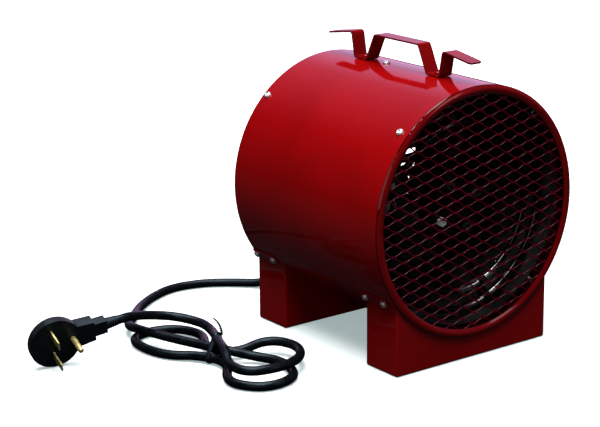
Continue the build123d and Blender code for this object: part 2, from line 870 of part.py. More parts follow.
bracket_rear = motor_front - touch
bracket_middle = bracket_rear - bracket_sheet / 2
bracket_reach = flat_inside(drum_inner, bracket_width / 2) - bracket_sheet / 2
with BuildPart() as motor_bracket:
    with BuildSketch(Plane.YZ):
        with BuildLine():
            FilletPolyline(
                (bracket_flange_front, axis_height - bracket_reach),
                (bracket_middle, axis_height - bracket_reach),
                (bracket_middle, axis_height + bracket_reach),
                (bracket_flange_front, axis_height + bracket_reach),
                radius=bracket_bend,
            )
        trace(line_width=bracket_sheet)
    extrude(amount=bracket_width / 2, both=True)
    with BuildSketch(across(motor_front)):
        Circle(motor_boss_radius + slip)
        with Locations((0, motor_stud_place), (0, -motor_stud_place)):
            Circle(shank_hole)
    extrude(amount=2 * bracket_sheet, mode=Mode.SUBTRACT)
    with Locations(*[skin(a, bracket_screw_place, drum_inner) for a in (top_angle, bottom_angle)]):
        Hole(shank_hole, depth=4 * bracket_sheet)
finish(motor_bracket, "motor_bracket")

with BuildPart() as motor_nuts:
    with BuildSketch(across(bracket_rear - bracket_sheet)):
        with Locations((0, motor_stud_place), (0, -motor_stud_place)):
            RegularPolygon(motor_nut_radius, 6)
            Circle(screw_shank / 2 + touch, mode=Mode.SUBTRACT)
    extrude(amount=motor_nut_height)
finish(motor_nuts, "motor_nuts")

# ---------------------------------------------------------------- rear guard
guard_radius = skirt_radius - ring_sheet - slip - guard_sheet / 2
guard_rear = guard_place + guard_sheet / 2
guard_outer_far = drum_radius - guard_outer_inset
guard_outer_near = guard_outer_far - guard_outer_length
guard_inner_far = guard_outer_near - guard_rib
guard_inner_near = guard_inner_far - guard_inner_length
guard_dish_radius = guard_inner_near - guard_dish_rib


def slot_angles(count):
    """Angles of the slots that stay clear of the plain sector."""
    angles = [360 * (number + 0.5) / count for number in range(count)]
    return [angle for angle in angles if not guard_plain_from < angle < guard_plain_to]


with BuildPart() as rear_guard:
    with BuildSketch(radius_plane):
        with BuildLine():
            FilletPolyline(
                (guard_radius, guard_place + guard_flange),
                (guard_radius, guard_place),
                (guard_dish_radius, guard_place),
                (guard_dish_radius - guard_dish_depth, guard_place + guard_dish_depth),
                (0, guard_place + guard_dish_depth),
                radius=guard_bend,
            )
        trace(line_width=guard_sheet)
    revolve(axis=drum_axis)
    with BuildSketch(across(guard_rear + guard_bend)):
        for count, near, far, width in (
            (guard_outer_slots, guard_outer_near, guard_outer_far, guard_outer_width),
            (guard_inner_slots, guard_inner_near, guard_inner_far, guard_inner_width),
        ):
            for angle in slot_angles(count):
                spot = at(angle, (near + far) / 2, 0)
                with Locations(Location((spot.X, spot.Z - axis_height, 0), (0, 0, angle))):
                    SlotOverall(far - near, width)
        with Locations((thermostat_x, thermostat_z)):
            Circle(thermostat_collar + hole_slip)
        with Locations((gland_x, gland_z)):
            Circle(gland_shank + hole_slip)
    extrude(amount=3 * guard_bend, mode=Mode.SUBTRACT)
    with Locations(*[skin(angle, rear_screw_place, drum_inner) for angle in mouth_screw_angles]):
        Hole(shank_hole, depth=6 * drum_wall)
finish(rear_guard, "rear_guard")

# ---------------------------------------------------------------- thermostat
guard_front = guard_place - guard_sheet / 2
collar_end = guard_rear + knob_gap / 2
stem_start = guard_front - stem_inside


def thermostat_plane(place):
    """Plane across the thermostat's stem, facing the rear."""
    return Plane(origin=(thermostat_x, place, axis_height + thermostat_z), z_dir=(0, 1, 0))


with BuildPart() as thermostat_body:
    with BuildSketch(thermostat_plane(guard_front - thermostat_depth)):
        RectangleRounded(thermostat_size, thermostat_size, thermostat_corner)
    extrude(amount=thermostat_depth)
    with BuildSketch(thermostat_plane(guard_front)):
        Circle(thermostat_collar)
    extrude(amount=collar_end - guard_front)
    with BuildSketch(thermostat_plane(collar_end)):
        Circle(stem_radius + shaft_slip)
    extrude(amount=-(collar_end - stem_start + slip), mode=Mode.SUBTRACT)
finish(thermostat_body, "thermostat_body")

with BuildPart() as thermostat_stem:
    with BuildSketch(thermostat_plane(stem_start)):
        Circle(stem_radius)
    extrude(amount=stem_length)
finish(thermostat_stem, "thermostat_stem")

knob_base = guard_rear + knob_gap
with BuildPart() as thermostat_knob:
    with BuildSketch(thermostat_plane(knob_base)):
        Circle(knob_radius)
    extrude(amount=knob_skirt)
    fillet(thermostat_knob.faces().sort_by(Axis.Y)[-1].edges(), knob_skirt / 3)
    with BuildSketch(thermostat_plane(knob_base)):
        SlotOverall(2 * knob_radius - knob_skirt, knob_grip)
    extrude(amount=knob_height)
    fillet(thermostat_knob.faces().sort_by(Axis.Y)[-1].edges(), knob_skirt / 3)
    with BuildSketch(thermostat_plane(knob_base)):
        Circle(stem_radius + touch)
    extrude(amount=stem_start + stem_length - knob_base + slip, mode=Mode.SUBTRACT)
finish(thermostat_knob, "thermostat_knob")

# ---------------------------------------------------------------- over-temperature switch
limit_plane = skin(limit_angle, limit_place, liner_radius + touch)
with BuildPart() as limit_cutout:
    with BuildSketch(limit_plane):
        Circle(limit_radius)
    extrude(amount=limit_base_height)
    with BuildSketch(limit_plane):
        Circle(limit_cap_radius)
    extrude(amount=limit_height)
    with BuildSketch(limit_plane):
        SlotOverall(limit_ear_length, limit_radius)
    extrude(amount=limit_ear_sheet)
finish(limit_cutout, "limit_cutout")

# ---------------------------------------------------------------- terminal block
block_face = flat_inside(drum_inner, block_width / 2)
block_plane = skin(element_gap_angle, block_place, block_face)
with BuildPart() as terminal_block:
    with BuildSketch(block_plane):
        Rectangle(block_length, block_width)
    extrude(amount=-block_height)
    with BuildSketch(block_plane.offset(-block_height)):
        with GridLocations(block_length / 2, block_width / block_poles, 2, block_poles):
            Circle(block_hole_radius)
    extrude(amount=block_hole_depth, mode=Mode.SUBTRACT)
finish(terminal_block, "terminal_block")


# ---------------------------------------------------------------- wires
def tube(points, radius, bend):
    """Add a round wire along straight runs joined by arcs."""
    with BuildLine(mode=Mode.PRIVATE) as route:
        FilletPolyline(*points, radius=bend)
    first = Vector(*points[1]) - Vector(*points[0])
    with BuildSketch(Plane(origin=points[0], z_dir=first), mode=Mode.PRIVATE) as section:
        Circle(radius)
    return sweep(section.sketch, path=route.wire(), mode=Mode.PRIVATE)


block_front = block_place - block_length / 2
block_rear = block_place + block_length / 2
feed_paths = []
for radius, side in wire_feeds:
    stud = element_leg_point(radius, side, stud_end)
    angle = wire_angle(radius, side)
    feed_paths.append(
        (
            stud,
            stud + Vector(0, wire_step, 0),
            at(angle, wire_ring, wire_turn_place),
            at(angle, wire_ring, block_front),
        )
    )
link_start = element_leg_point(element_outer_radius, -1, stud_end)
link_end = element_leg_point(element_inner_radius, 1, stud_end)
link_lift = Vector(0, wire_step / 3, 0)
feed_paths.append((link_start, link_start + link_lift, link_end + link_lift, link_end))

supply_ring = drum_inner - 3 * supply_radius
supply_path = [
    Vector(gland_x, guard_front - gland_shank, axis_height + gland_z),
    Vector(gland_x, supply_place, axis_height + gland_z),
]
supply_path += [at(angle, supply_ring, supply_place) for angle in supply_angles]
supply_path += [
    at(element_gap_angle, supply_ring, place) for place in (supply_place + supply_step, block_rear)
]

with BuildPart() as wiring:
    for points in feed_paths:
        add(tube(points, wire_radius, wire_bend))
    add(tube(supply_path, supply_radius, supply_bend))
    with BuildSketch(skin(element_gap_angle, block_place, motor_radius + touch)):
        Circle(wire_radius)
    extrude(amount=block_face - block_height - motor_radius - 2 * touch)
finish(wiring, "wiring")

# ---------------------------------------------------------------- gland
gland_plane = Plane(origin=(gland_x, 0, axis_height + gland_z), z_dir=(0, 1, 0))
with BuildPart() as strain_relief:
    with BuildSketch(gland_plane.offset(guard_front - gland_shank)):
        RegularPolygon(gland_nut, 6)
    extrude(amount=gland_shank - touch)
    with BuildSketch(gland_plane.offset(guard_front - gland_shank)):
        Circle(gland_shank)
    extrude(amount=2 * gland_shank)
    with BuildSketch(gland_plane.offset(guard_rear + touch)):
        RegularPolygon(gland_nut, 6)
    extrude(amount=gland_shank)
    with BuildSketch(gland_plane.offset(guard_rear + touch + gland_shank)):
        Circle(gland_neck_radius)
    with BuildSketch(gland_plane.offset(gland_end)):
        Circle(gland_end_radius)
    loft()
finish(strain_relief, "strain_relief")

# ---------------------------------------------------------------- cord
cord_radius = cord_diameter / 2
layer_low = cord_radius
waist = Vector(waist_x, waist_y, 0)

# Places along the hank: along, aside, height and direction, from the waist.
hank_places = [
    (0, 5, layer_middle, (1, 0)),
    (66, 20, 8, (1, 0)),
    (115, -24, layer_low, (0, -1)),
    (80, -64, layer_low, (-1, 0)),
    (0, -7, 7.6, (-1, 0)),
    (-66, -24, layer_low, (-1, 0)),
    (-124, 14, layer_low, (0, 1)),
    (-80, 54, layer_low + 2, (1, 0)),
    (0, 17, 9, (1, 0)),
    (62, 57, 17, (1, 0)),
    (108, 2, layer_middle + 2, (-0.05, -1)),
    (62, -52, layer_middle + 3, (-1, 0.3)),
    (22, -16, layer_high, (-1, 1.1)),
]

# Points of the free stretches, chosen by hand.
lead_points = [
    (gland_x, gland_end, axis_height + gland_z),
    (gland_x, gland_end + lead_run, axis_height + gland_z),
    (0, gland_end + 2 * lead_run, 49),
    (-13, 220, 31),
    (-33, 254, 12),
    (-64, 283, layer_low),
    (-106, 300, layer_low),
    (-154, 301, layer_low),
    (-198, 283, layer_low),
    (-232, 252, 6),
    (-258, 217, 8),
    (-286, 188, 12.8),
    (-294, 150, 19.3),
]
tail_points = [
    (-236.5, 66.7, 25.1),
    (-231.7, 90.4, 27.6),
    (-235.5, 110.4, 28.6),
    (-249.8, 129.7, 31.8),
    (-273.5, 139.2, 36.1),
    (-299.8, 134.8, 42.5),
    (-317.9, 126.5, 47.6),
]
lead_last_run = 46.0
tail_first_run = 30.0
plug_first_run = 17.2


def on_hank(along, aside, height):
    """Point of the hank: its two halves lie at slightly different directions."""
    share = min(max((along + lay_blend) / (2 * lay_blend), 0), 1)
    share = share * share * (3 - 2 * share)
    turn = math.radians(lay_left + (lay_right - lay_left) * share)
    x = waist.X + along * math.cos(turn) - aside * math.sin(turn)
    y = waist.Y + along * math.sin(turn) + aside * math.cos(turn)
    return Vector(x, y, height)


hank_points = []
hank_directions = []
for along, aside, height, (step_along, step_aside) in hank_places:
    here = on_hank(along, aside, height)
    ahead = on_hank(along + step_along / 2, aside + step_aside / 2, height)
    hank_points.append(here)
    hank_directions.append((ahead - here).normalized())


def biarc_joint(start, start_way, end, end_way):
    """Where two arcs with these end directions meet, and their common direction."""
    gap = end - start
    both = start_way + end_way
    bend = 2 * (1 - start_way.dot(end_way))
    forward = gap.dot(both)
    if bend > 0:
        reach = (math.sqrt(forward * forward + bend * gap.dot(gap)) - forward) / bend
    else:
        reach = gap.dot(gap) / (4 * gap.dot(end_way))
    near = start + start_way * reach
    far = end - end_way * reach
    return (near + far) / 2, (far - near).normalized()


def corner_radii(points):
    """Radius of each corner's arc, from the shorter run and the tangent of half the turn."""
    radii = []
    for before, here, after in zip(points, points[1:], points[2:]):
        run_in = here - before
        run_out = after - here
        half_turn = math.radians(run_in.get_angle(run_out)) / 2
        radii.append(corner_share * min(run_in.length, run_out.length) / math.tan(half_turn))
    return radii


def cord_piece(points):
    """Tube along straight runs joined by arcs, with its route."""
    radii = corner_radii(points)
    with BuildPart() as piece:
        with BuildLine() as route:
            FilletPolyline(*points, radius=radii)
        with BuildSketch(Plane(origin=points[0], z_dir=points[1] - points[0])):
            Circle(cord_radius)
        sweep(path=route.wire())
    return piece, route.wire(), radii


pin_axis = Axis(plug_centre, plug_pin_direction)
plug_face = Plane(origin=plug_centre, x_dir=plug_cord_direction, z_dir=plug_pin_direction)
plug_exit = plug_face.from_local_coords((plug_sleeve_reach, 0, -plug_cord_depth))
hank_start = hank_points[0] - hank_directions[0] * cord_diameter
hank_end = hank_points[-1] + hank_directions[-1] * cord_diameter

lead_route_points = [Vector(*point) for point in lead_points]
lead_route_points += [hank_points[0] - hank_directions[0] * lead_last_run, hank_start]
cord_lead, lead_route, lead_radii = cord_piece(lead_route_points)
finish(cord_lead, "cord_lead")

tail_route_points = [hank_end, hank_points[-1] + hank_directions[-1] * tail_first_run]
tail_route_points += [Vector(*point) for point in tail_points]
tail_route_points += [plug_exit + plug_face.x_dir * plug_first_run, plug_exit]
cord_tail, tail_route, tail_radii = cord_piece(tail_route_points)
finish(cord_tail, "cord_tail")

with BuildPart() as cord_hank:
    with BuildLine() as hank_line:
        Line(hank_start, hank_points[0])
        for index in range(len(hank_points) - 1):
            start, end = hank_points[index], hank_points[index + 1]
            start_way, end_way = hank_directions[index], hank_directions[index + 1]
            joint, joint_way = biarc_joint(start, start_way, end, end_way)
            TangentArc(start, joint, tangent=start_way)
            TangentArc(joint, end, tangent=joint_way)
        Line(hank_points[-1], hank_end)
    with BuildSketch(Plane(origin=hank_start, z_dir=hank_directions[0])):
        Circle(cord_radius)
    sweep(path=hank_line.wire())
finish(cord_hank, "cord_hank")


def least_gap(wire, apart):
    """Least free space between stretches of a tube that lie further apart than this along it."""
    count = int(wire.length / gap_step)
    points = [wire.position_at(number / count) for number in range(count + 1)]
    skip = int(apart / gap_step)
    return min(
        (points[first] - points[second]).length - cord_diameter
        for first in range(count + 1)
        for second in range(first + skip, count + 1)
    )


hank_route = hank_line.wire()
cord_section = math.pi * cord_radius**2
for name, piece, route in (
    ("cord_lead", cord_lead, lead_route),
    ("cord_hank", cord_hank, hank_route),
    ("cord_tail", cord_tail, tail_route),
):
    ratio = piece.part.volume / (cord_section * route.length)
    print(f"{name}: length {route.length:.0f}, volume over section times length {ratio:.4f}")
print("lead radii", [round(radius) for radius in lead_radii])
print("tail radii", [round(radius) for radius in tail_radii])
hank_arcs = hank_route.edges().filter_by(GeomType.CIRCLE)
print("hank: least arc radius", round(min(arc.radius for arc in hank_arcs), 1))
print("hank: least gap to itself", round(least_gap(hank_route, 4 * cord_diameter), 2))

# ---------------------------------------------------------------- tie round the hank
tie_turn = math.radians((lay_left + lay_right) / 2)
tie_plane = Plane(
    origin=waist,
    x_dir=(-math.sin(tie_turn), math.cos(tie_turn), 0),
    z_dir=(math.cos(tie_turn), math.sin(tie_turn), 0),
)
tie_up = 1 if tie_plane.y_dir.Z > 0 else -1
tie_middle = ((tie_near + tie_far) / 2, tie_up * (tie_low + tie_high) / 2)
tie_inner = (tie_far - tie_near, tie_high - tie_low, tie_corner)
tie_outer = (tie_inner[0] + 2 * tie_sheet, tie_inner[1] + 2 * tie_sheet, tie_corner + tie_sheet)
with BuildPart() as cord_tie:
    with BuildSketch(tie_plane.offset(-tie_width / 2)):
        with Locations(tie_middle):
            RectangleRounded(*tie_outer)
            RectangleRounded(*tie_inner, mode=Mode.SUBTRACT)
    extrude(amount=tie_width)
    tail_root = tie_plane.from_local_coords((tie_far - tie_tail_inset, tie_up * tie_high, 0))
    tie_tail = [tail_root] + [tail_root + Vector(*step) for step in tie_tail_steps]
    add(tube(tie_tail, tie_tail_radius, tie_tail_bend))
finish(cord_tie, "cord_tie")

# ---------------------------------------------------------------- plug
with BuildPart() as plug_body:
    with BuildSketch(plug_face):
        Circle(plug_radius)
    extrude(amount=-plug_depth)
    plug_back = plug_body.faces().filter_by(GeomType.PLANE).sort_by(pin_axis)[0]
    fillet(plug_back.edges(), plug_back_fillet)
    for reach, root_width, end_width, thickness in (
        (plug_neck_reach, plug_neck_root_width, plug_neck_end_width, plug_neck_thickness),
        (plug_sleeve_reach, plug_sleeve_root_width, plug_sleeve_end_width, plug_sleeve_thickness),
    ):
        with BuildSketch(plug_face.offset(-plug_cord_depth - thickness / 2)):
            Polygon(
                (0, -root_width / 2),
                (reach, -end_width / 2),
                (reach, end_width / 2),
                (0, root_width / 2),
                align=None,
            )
        extrude(amount=thickness)
    with BuildSketch(plug_face):
        with Locations((blade_offset, blade_apart), (blade_offset, -blade_apart)):
            Rectangle(blade_sheet + 2 * touch, blade_width + 2 * touch)
        with Locations((ground_place, 0)):
            Circle(ground_radius + touch)
    extrude(amount=-blade_root, mode=Mode.SUBTRACT)
finish(plug_body, "plug_body")

with BuildPart() as plug_blades:
    with BuildSketch(plug_face.offset(-blade_root)):
        with Locations((blade_offset, blade_apart), (blade_offset, -blade_apart)):
            Rectangle(blade_sheet, blade_width)
    extrude(amount=blade_root + blade_length)
finish(plug_blades, "plug_blades")

with BuildPart() as plug_ground_pin:
    with BuildSketch(plug_face.offset(-blade_root)):
        with Locations((ground_place, 0)):
            Circle(ground_radius)
    extrude(amount=blade_root + ground_length)
    pin_tip = plug_ground_pin.faces().sort_by(pin_axis)[-1]
    fillet(pin_tip.edges(), ground_tip_fillet)
finish(plug_ground_pin, "plug_ground_pin")
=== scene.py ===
import math

import bpy
from mathutils import Matrix, Vector


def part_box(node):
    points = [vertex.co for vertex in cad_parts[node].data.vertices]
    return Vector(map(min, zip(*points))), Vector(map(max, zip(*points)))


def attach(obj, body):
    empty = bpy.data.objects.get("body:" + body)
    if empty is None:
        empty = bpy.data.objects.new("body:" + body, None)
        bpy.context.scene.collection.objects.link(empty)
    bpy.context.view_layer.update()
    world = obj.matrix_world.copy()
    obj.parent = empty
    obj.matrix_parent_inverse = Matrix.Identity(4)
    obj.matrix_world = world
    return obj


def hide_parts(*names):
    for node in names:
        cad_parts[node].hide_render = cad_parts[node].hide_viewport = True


# Looks of a portable forced air heater: red powder-coated drum, expanded-metal mouth, bent strap
# handle, folded feet, and a black lead that lies tied beside it. Metres, in the frame of the model.
# The drum's axis lies along Y, with the mouth at its low end.

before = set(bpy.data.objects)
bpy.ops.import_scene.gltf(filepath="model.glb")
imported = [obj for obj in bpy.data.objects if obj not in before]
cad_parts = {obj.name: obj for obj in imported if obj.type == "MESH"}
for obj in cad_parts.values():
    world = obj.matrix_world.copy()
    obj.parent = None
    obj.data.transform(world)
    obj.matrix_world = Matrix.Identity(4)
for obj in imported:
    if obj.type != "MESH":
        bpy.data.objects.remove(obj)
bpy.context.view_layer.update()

# ---------------------------------------------------------------- sizes, from the frame
drum_low, drum_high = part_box("housing_drum")
drum_radius = (drum_high[0] - drum_low[0]) / 2
axis_height = (drum_high[2] + drum_low[2]) / 2
grille_low, grille_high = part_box("front_grille")
grille_radius = (grille_high[0] - grille_low[0]) / 2
grille_place = (grille_low[1] + grille_high[1]) / 2

# ---------------------------------------------------------------- camera
camera_place = Vector((-1.4009, -1.6776, 0.7719))
camera_azimuth = math.radians(-36.603)
camera_elevation = math.radians(15.923)
camera_roll = math.radians(-0.488)
camera_lens = 110.08
camera_sensor = 36.0


def make_camera():
    """Camera at the photograph's place and angle."""
    data = bpy.data.cameras.new("camera")
    data.lens = camera_lens
    data.sensor_width = camera_sensor
    camera = bpy.data.objects.new("camera", data)
    bpy.context.collection.objects.link(camera)
    level = math.cos(camera_elevation)
    back = Vector(
        (math.sin(camera_azimuth) * level, -math.cos(camera_azimuth) * level, math.sin(camera_elevation))
    )
    right = Vector((math.cos(camera_azimuth), math.sin(camera_azimuth), 0))
    up = back.cross(right)
    turned_right = right * math.cos(camera_roll) + up * math.sin(camera_roll)
    turned_up = up * math.cos(camera_roll) - right * math.sin(camera_roll)
    turn = Matrix((turned_right, turned_up, back)).transposed()
    camera.matrix_world = Matrix.Translation(camera_place) @ turn.to_4x4()
    bpy.context.scene.camera = camera


# ---------------------------------------------------------------- material helpers
noise_detail = 3.0
noise_roughness = 0.55
noise_ends = (0.35, 0.65)  # between which most of its values lie


def start_material(name, **values):
    """New node material; values are set on the sockets of its Principled shader."""
    material = bpy.data.materials.new(name)
    material.use_nodes = True
    nodes = material.node_tree.nodes
    shader = nodes["Principled BSDF"]
    for socket, value in values.items():
        shader.inputs[socket.replace("_", " ")].default_value = value
    return material, nodes, material.node_tree.links, shader


def object_place(nodes):
    """Coordinates in the object's own frame, in metres."""
    return nodes.new("ShaderNodeTexCoord").outputs["Object"]


def distance_from(nodes, links, point):
    """Distance from a point of the object's own frame."""
    away = nodes.new("ShaderNodeVectorMath")
    away.operation = "DISTANCE"
    away.inputs[1].default_value = point
    links.new(object_place(nodes), away.inputs[0])
    return away.outputs["Value"]


def worked_out(nodes, links, operation, *values):
    """Result of a math node on one or two values."""
    node = nodes.new("ShaderNodeMath")
    node.operation = operation
    for socket, value in zip(node.inputs, values):
        links.new(value, socket)
    return node.outputs["Value"]


def noise_value(nodes, links, scale):
    """Noise in the object's own coordinates; its scale is in waves per metre."""
    noise = nodes.new("ShaderNodeTexNoise")
    noise.inputs["Scale"].default_value = scale
    noise.inputs["Detail"].default_value = noise_detail
    noise.inputs["Roughness"].default_value = noise_roughness
    links.new(object_place(nodes), noise.inputs["Vector"])
    return noise.outputs["Fac"]


def between(nodes, links, factor, low, high, ends=noise_ends):
    """Value or colour that goes from low to high as the factor goes from one end to the other."""
    if isinstance(low, (int, float)):
        spread = nodes.new("ShaderNodeMapRange")
        spread.inputs["From Min"].default_value = ends[0]
        spread.inputs["From Max"].default_value = ends[1]
        spread.inputs["To Min"].default_value = low
        spread.inputs["To Max"].default_value = high
        links.new(factor, spread.inputs["Value"])
        return spread.outputs["Result"]
    ramp = nodes.new("ShaderNodeValToRGB")
    for element, position, colour in zip(ramp.color_ramp.elements, ends, (low, high)):
        element.position = position
        element.color = (*colour, 1)
    links.new(factor, ramp.inputs["Fac"])
    return ramp.outputs["Color"]


def add_bump(nodes, links, shader, waves, strength, depth):
    """Fine bump of so many waves per metre, with its depth in metres."""
    bump = nodes.new("ShaderNodeBump")
    bump.inputs["Strength"].default_value = strength
    bump.inputs["Distance"].default_value = depth
    links.new(noise_value(nodes, links, waves), bump.inputs["Height"])
    links.new(bump.outputs["Normal"], shader.inputs["Normal"])


def mix_by_ray(nodes, links, kind, seen, others):
    """Mix of two shader nodes: rays of one kind meet the first, and all others the second."""
    path = nodes.new("ShaderNodeLightPath")
    mix = nodes.new("ShaderNodeMixShader")
    links.new(path.outputs[kind], mix.inputs["Fac"])
    links.new(others.outputs[0], mix.inputs[1])
    links.new(seen.outputs[0], mix.inputs[2])
    return mix


# ---------------------------------------------------------------- materials
plain_bump = (900.0, 0.2, 0.0001)  # waves per metre, strength and depth
# Roughness grain and bump of the dark metals that carry a painted highlight.
highlighted_metal_grain = 160.0
highlighted_metal_bump = (900.0, 0.1, 0.0001)
painted_highlight_fade = 1.3  # times the painted highlight's reach, where the metal has only its dark colour
nut_painted_highlight = (-0.027, -0.107, 0.1668)  # painted highlight: the one nut of the cross that is painted bright, where light falls on it
sheath_painted_highlight = (0.03, -0.110, 0.076)  # painted highlight: where the inner element's sheath is painted bright, in place of its highlights
# Painted shade in the groove along the drum's end: each ring's coat is darkened within this width of it.
groove_width = 0.0012
groove_end = drum_high[1] + groove_width
groove_fade = 0.0006
groove_painted_shade = (0.012, 0.0005, 0.001, 1)


def surface(name, dark, light, grain, rough, bump=plain_bump, **values):
    """Material whose colour and roughness vary over its grain, with a fine bump."""
    material, nodes, links, shader = start_material(name, **values)
    mottle = noise_value(nodes, links, grain)
    links.new(between(nodes, links, mottle, dark, light), shader.inputs["Base Color"])
    links.new(between(nodes, links, mottle, *rough), shader.inputs["Roughness"])
    add_bump(nodes, links, shader, *bump)
    return material


def dark_metal_with_painted_highlight(name, dull, bright, rough, place, reach, **values):
    """Dark metal, darkened partly by heat and partly as painted shade inside the drum, with a painted
    highlight: a brighter colour round one place.
    """
    material, nodes, links, shader = start_material(name, **values)
    away = distance_from(nodes, links, place)
    highlighted_colour = between(nodes, links, away, bright, dull, ends=(reach, reach * painted_highlight_fade))
    links.new(highlighted_colour, shader.inputs["Base Color"])
    mottle = noise_value(nodes, links, highlighted_metal_grain)
    links.new(between(nodes, links, mottle, *rough), shader.inputs["Roughness"])
    add_bump(nodes, links, shader, *highlighted_metal_bump)
    return material


def shade_groove(material):
    """Painted shade: darken a ring's coat behind its lip, where shade falls in the groove along the drum's
    end.
    """
    nodes, links = material.node_tree.nodes, material.node_tree.links
    coat = nodes["Principled BSDF"].inputs["Base Color"]
    paint = coat.links[0].from_socket
    split = nodes.new("ShaderNodeSeparateXYZ")
    links.new(object_place(nodes), split.inputs["Vector"])
    away = worked_out(nodes, links, "ABSOLUTE", split.outputs["Y"])
    in_light = between(nodes, links, away, 0.0, 1.0, ends=(groove_end, groove_end + groove_fade))
    mix = nodes.new("ShaderNodeMix")
    mix.data_type = "RGBA"
    mix.inputs["A"].default_value = groove_painted_shade
    links.new(in_light, mix.inputs["Factor"])
    links.new(paint, mix.inputs["B"])
    links.new(mix.outputs["Result"], coat)


def make_paints():
    """Red powder coats of the sheet metal."""
    paints = {}
    paints["red"] = surface(
        "red_powder_coat", dark=(0.185, 0.0012, 0.0016), light=(0.21, 0.0014, 0.002),
        grain=14.0, rough=(0.06, 0.1), bump=(420.0, 0.02, 0.0002),
    )
    paints["red_mesh"] = surface(
        "red_mesh_coat", dark=(0.105, 0.0008, 0.008), light=(0.14, 0.0012, 0.012),
        grain=60.0, rough=(0.14, 0.22), bump=(700.0, 0.1, 0.0002), Specular_IOR_Level=0.4,
    )
    paints["strap"] = surface(
        "strap_powder_coat", dark=(0.115, 0.0006, 0.0008), light=(0.14, 0.0008, 0.001),
        grain=18.0, rough=(0.14, 0.22), bump=(420.0, 0.04, 0.0002), Specular_IOR_Level=0.16,
    )
    paints["ring"] = surface(
        "ring_powder_coat", dark=(0.12, 0.0008, 0.0012), light=(0.15, 0.001, 0.0015),
        grain=20.0, rough=(0.05, 0.08), bump=(420.0, 0.02, 0.0002), Specular_IOR_Level=0.42,
    )
    shade_groove(paints["ring"])
    return paints


def make_metals():
    """Bare and plated metals, metals darkened partly by heat and partly as painted shade inside the drum,
    painted highlights on one nut and one element, and the motor's enamel.
    """
    metals = {}
    metals["screw"] = surface(
        "bright_screw_zinc", dark=(0.62, 0.64, 0.66), light=(0.84, 0.85, 0.87),
        grain=300.0, rough=(0.22, 0.38), Metallic=0.8,
    )
    # Sheet inside the drum: its near-black colour is partly heat tint and partly painted shade.
    metals["plated"] = surface(
        "heat_and_shade_darkened_sheet", dark=(0.010, 0.012, 0.012), light=(0.034, 0.038, 0.037),
        grain=25.0, rough=(0.35, 0.6), Metallic=0.6,
    )
    # The cross's near-black colour is partly heat tint and partly painted shade inside the drum.
    metals["cross"] = surface(
        "cross_sheet", dark=(0.009, 0.009, 0.01), light=(0.02, 0.02, 0.02),
        grain=40.0, rough=(0.35, 0.55), Metallic=1.0,
    )
    # The nuts' dark colour is partly painted shade inside the drum; the one bright nut is a painted
    # highlight.
    metals["nuts"] = dark_metal_with_painted_highlight(
        "nut_steel", dull=(0.012, 0.012, 0.012), bright=(0.5, 0.52, 0.52),
        rough=(0.3, 0.5), place=nut_painted_highlight, reach=0.011, Metallic=0.25,
    )
    # The sheath's dark colour is partly painted shade inside the drum; its bright place is a painted
    # highlight.
    metals["sheath"] = dark_metal_with_painted_highlight(
        "element_sheath", dull=(0.03, 0.03, 0.03), bright=(0.4, 0.42, 0.4),
        rough=(0.08, 0.16), place=sheath_painted_highlight, reach=0.028, Metallic=1.0,
    )
    metals["fan"] = surface(
        "fan_sheet", dark=(0.05, 0.05, 0.052), light=(0.11, 0.11, 0.112),
        grain=60.0, rough=(0.3, 0.5), Metallic=1.0,
    )
    metals["motor"] = surface(
        "motor_enamel", dark=(0.012, 0.012, 0.013), light=(0.025, 0.025, 0.027),
        grain=50.0, rough=(0.3, 0.45),
    )
    metals["brass"] = surface(
        "pin_brass", dark=(0.62, 0.52, 0.18), light=(0.86, 0.76, 0.34),
        grain=160.0, rough=(0.28, 0.42), Metallic=0.8,
    )
    return metals


def make_insulators():
    """Ceramic, plastic, braided sleeve and rubber."""
    insulators = {}
    insulators["ceramic"] = surface(
        "ceramic", dark=(0.72, 0.7, 0.64), light=(0.84, 0.82, 0.77), grain=80.0, rough=(0.5, 0.7),
    )
    insulators["plastic"] = surface(
        "black_moulded_plastic", dark=(0.010, 0.010, 0.011), light=(0.017, 0.017, 0.018),
        grain=200.0, rough=(0.4, 0.55), bump=(1800.0, 0.3, 0.00008),
    )
    insulators["wire"] = surface(
        "braided_wire_sleeve", dark=(0.05, 0.048, 0.045), light=(0.11, 0.105, 0.1),
        grain=900.0, rough=(0.6, 0.8), bump=(2400.0, 0.5, 0.0002),
    )
    insulators["cord"] = surface(
        "cord_rubber", dark=(0.0014, 0.0022, 0.003), light=(0.0026, 0.004, 0.0054),
        grain=90.0, rough=(0.2, 0.32), bump=(260.0, 0.12, 0.0003),
        Specular_IOR_Level=0.16, Specular_Tint=(0.6, 0.85, 1.0, 1.0),
    )
    insulators["plug"] = surface(
        "plug_rubber", dark=(0.0034, 0.0042, 0.0056), light=(0.006, 0.0072, 0.0094),
        grain=70.0, rough=(0.3, 0.44), bump=(1500.0, 0.2, 0.0001),
        Specular_IOR_Level=0.3, Specular_Tint=(0.5, 0.85, 1.0, 1.0),
    )
    return insulators


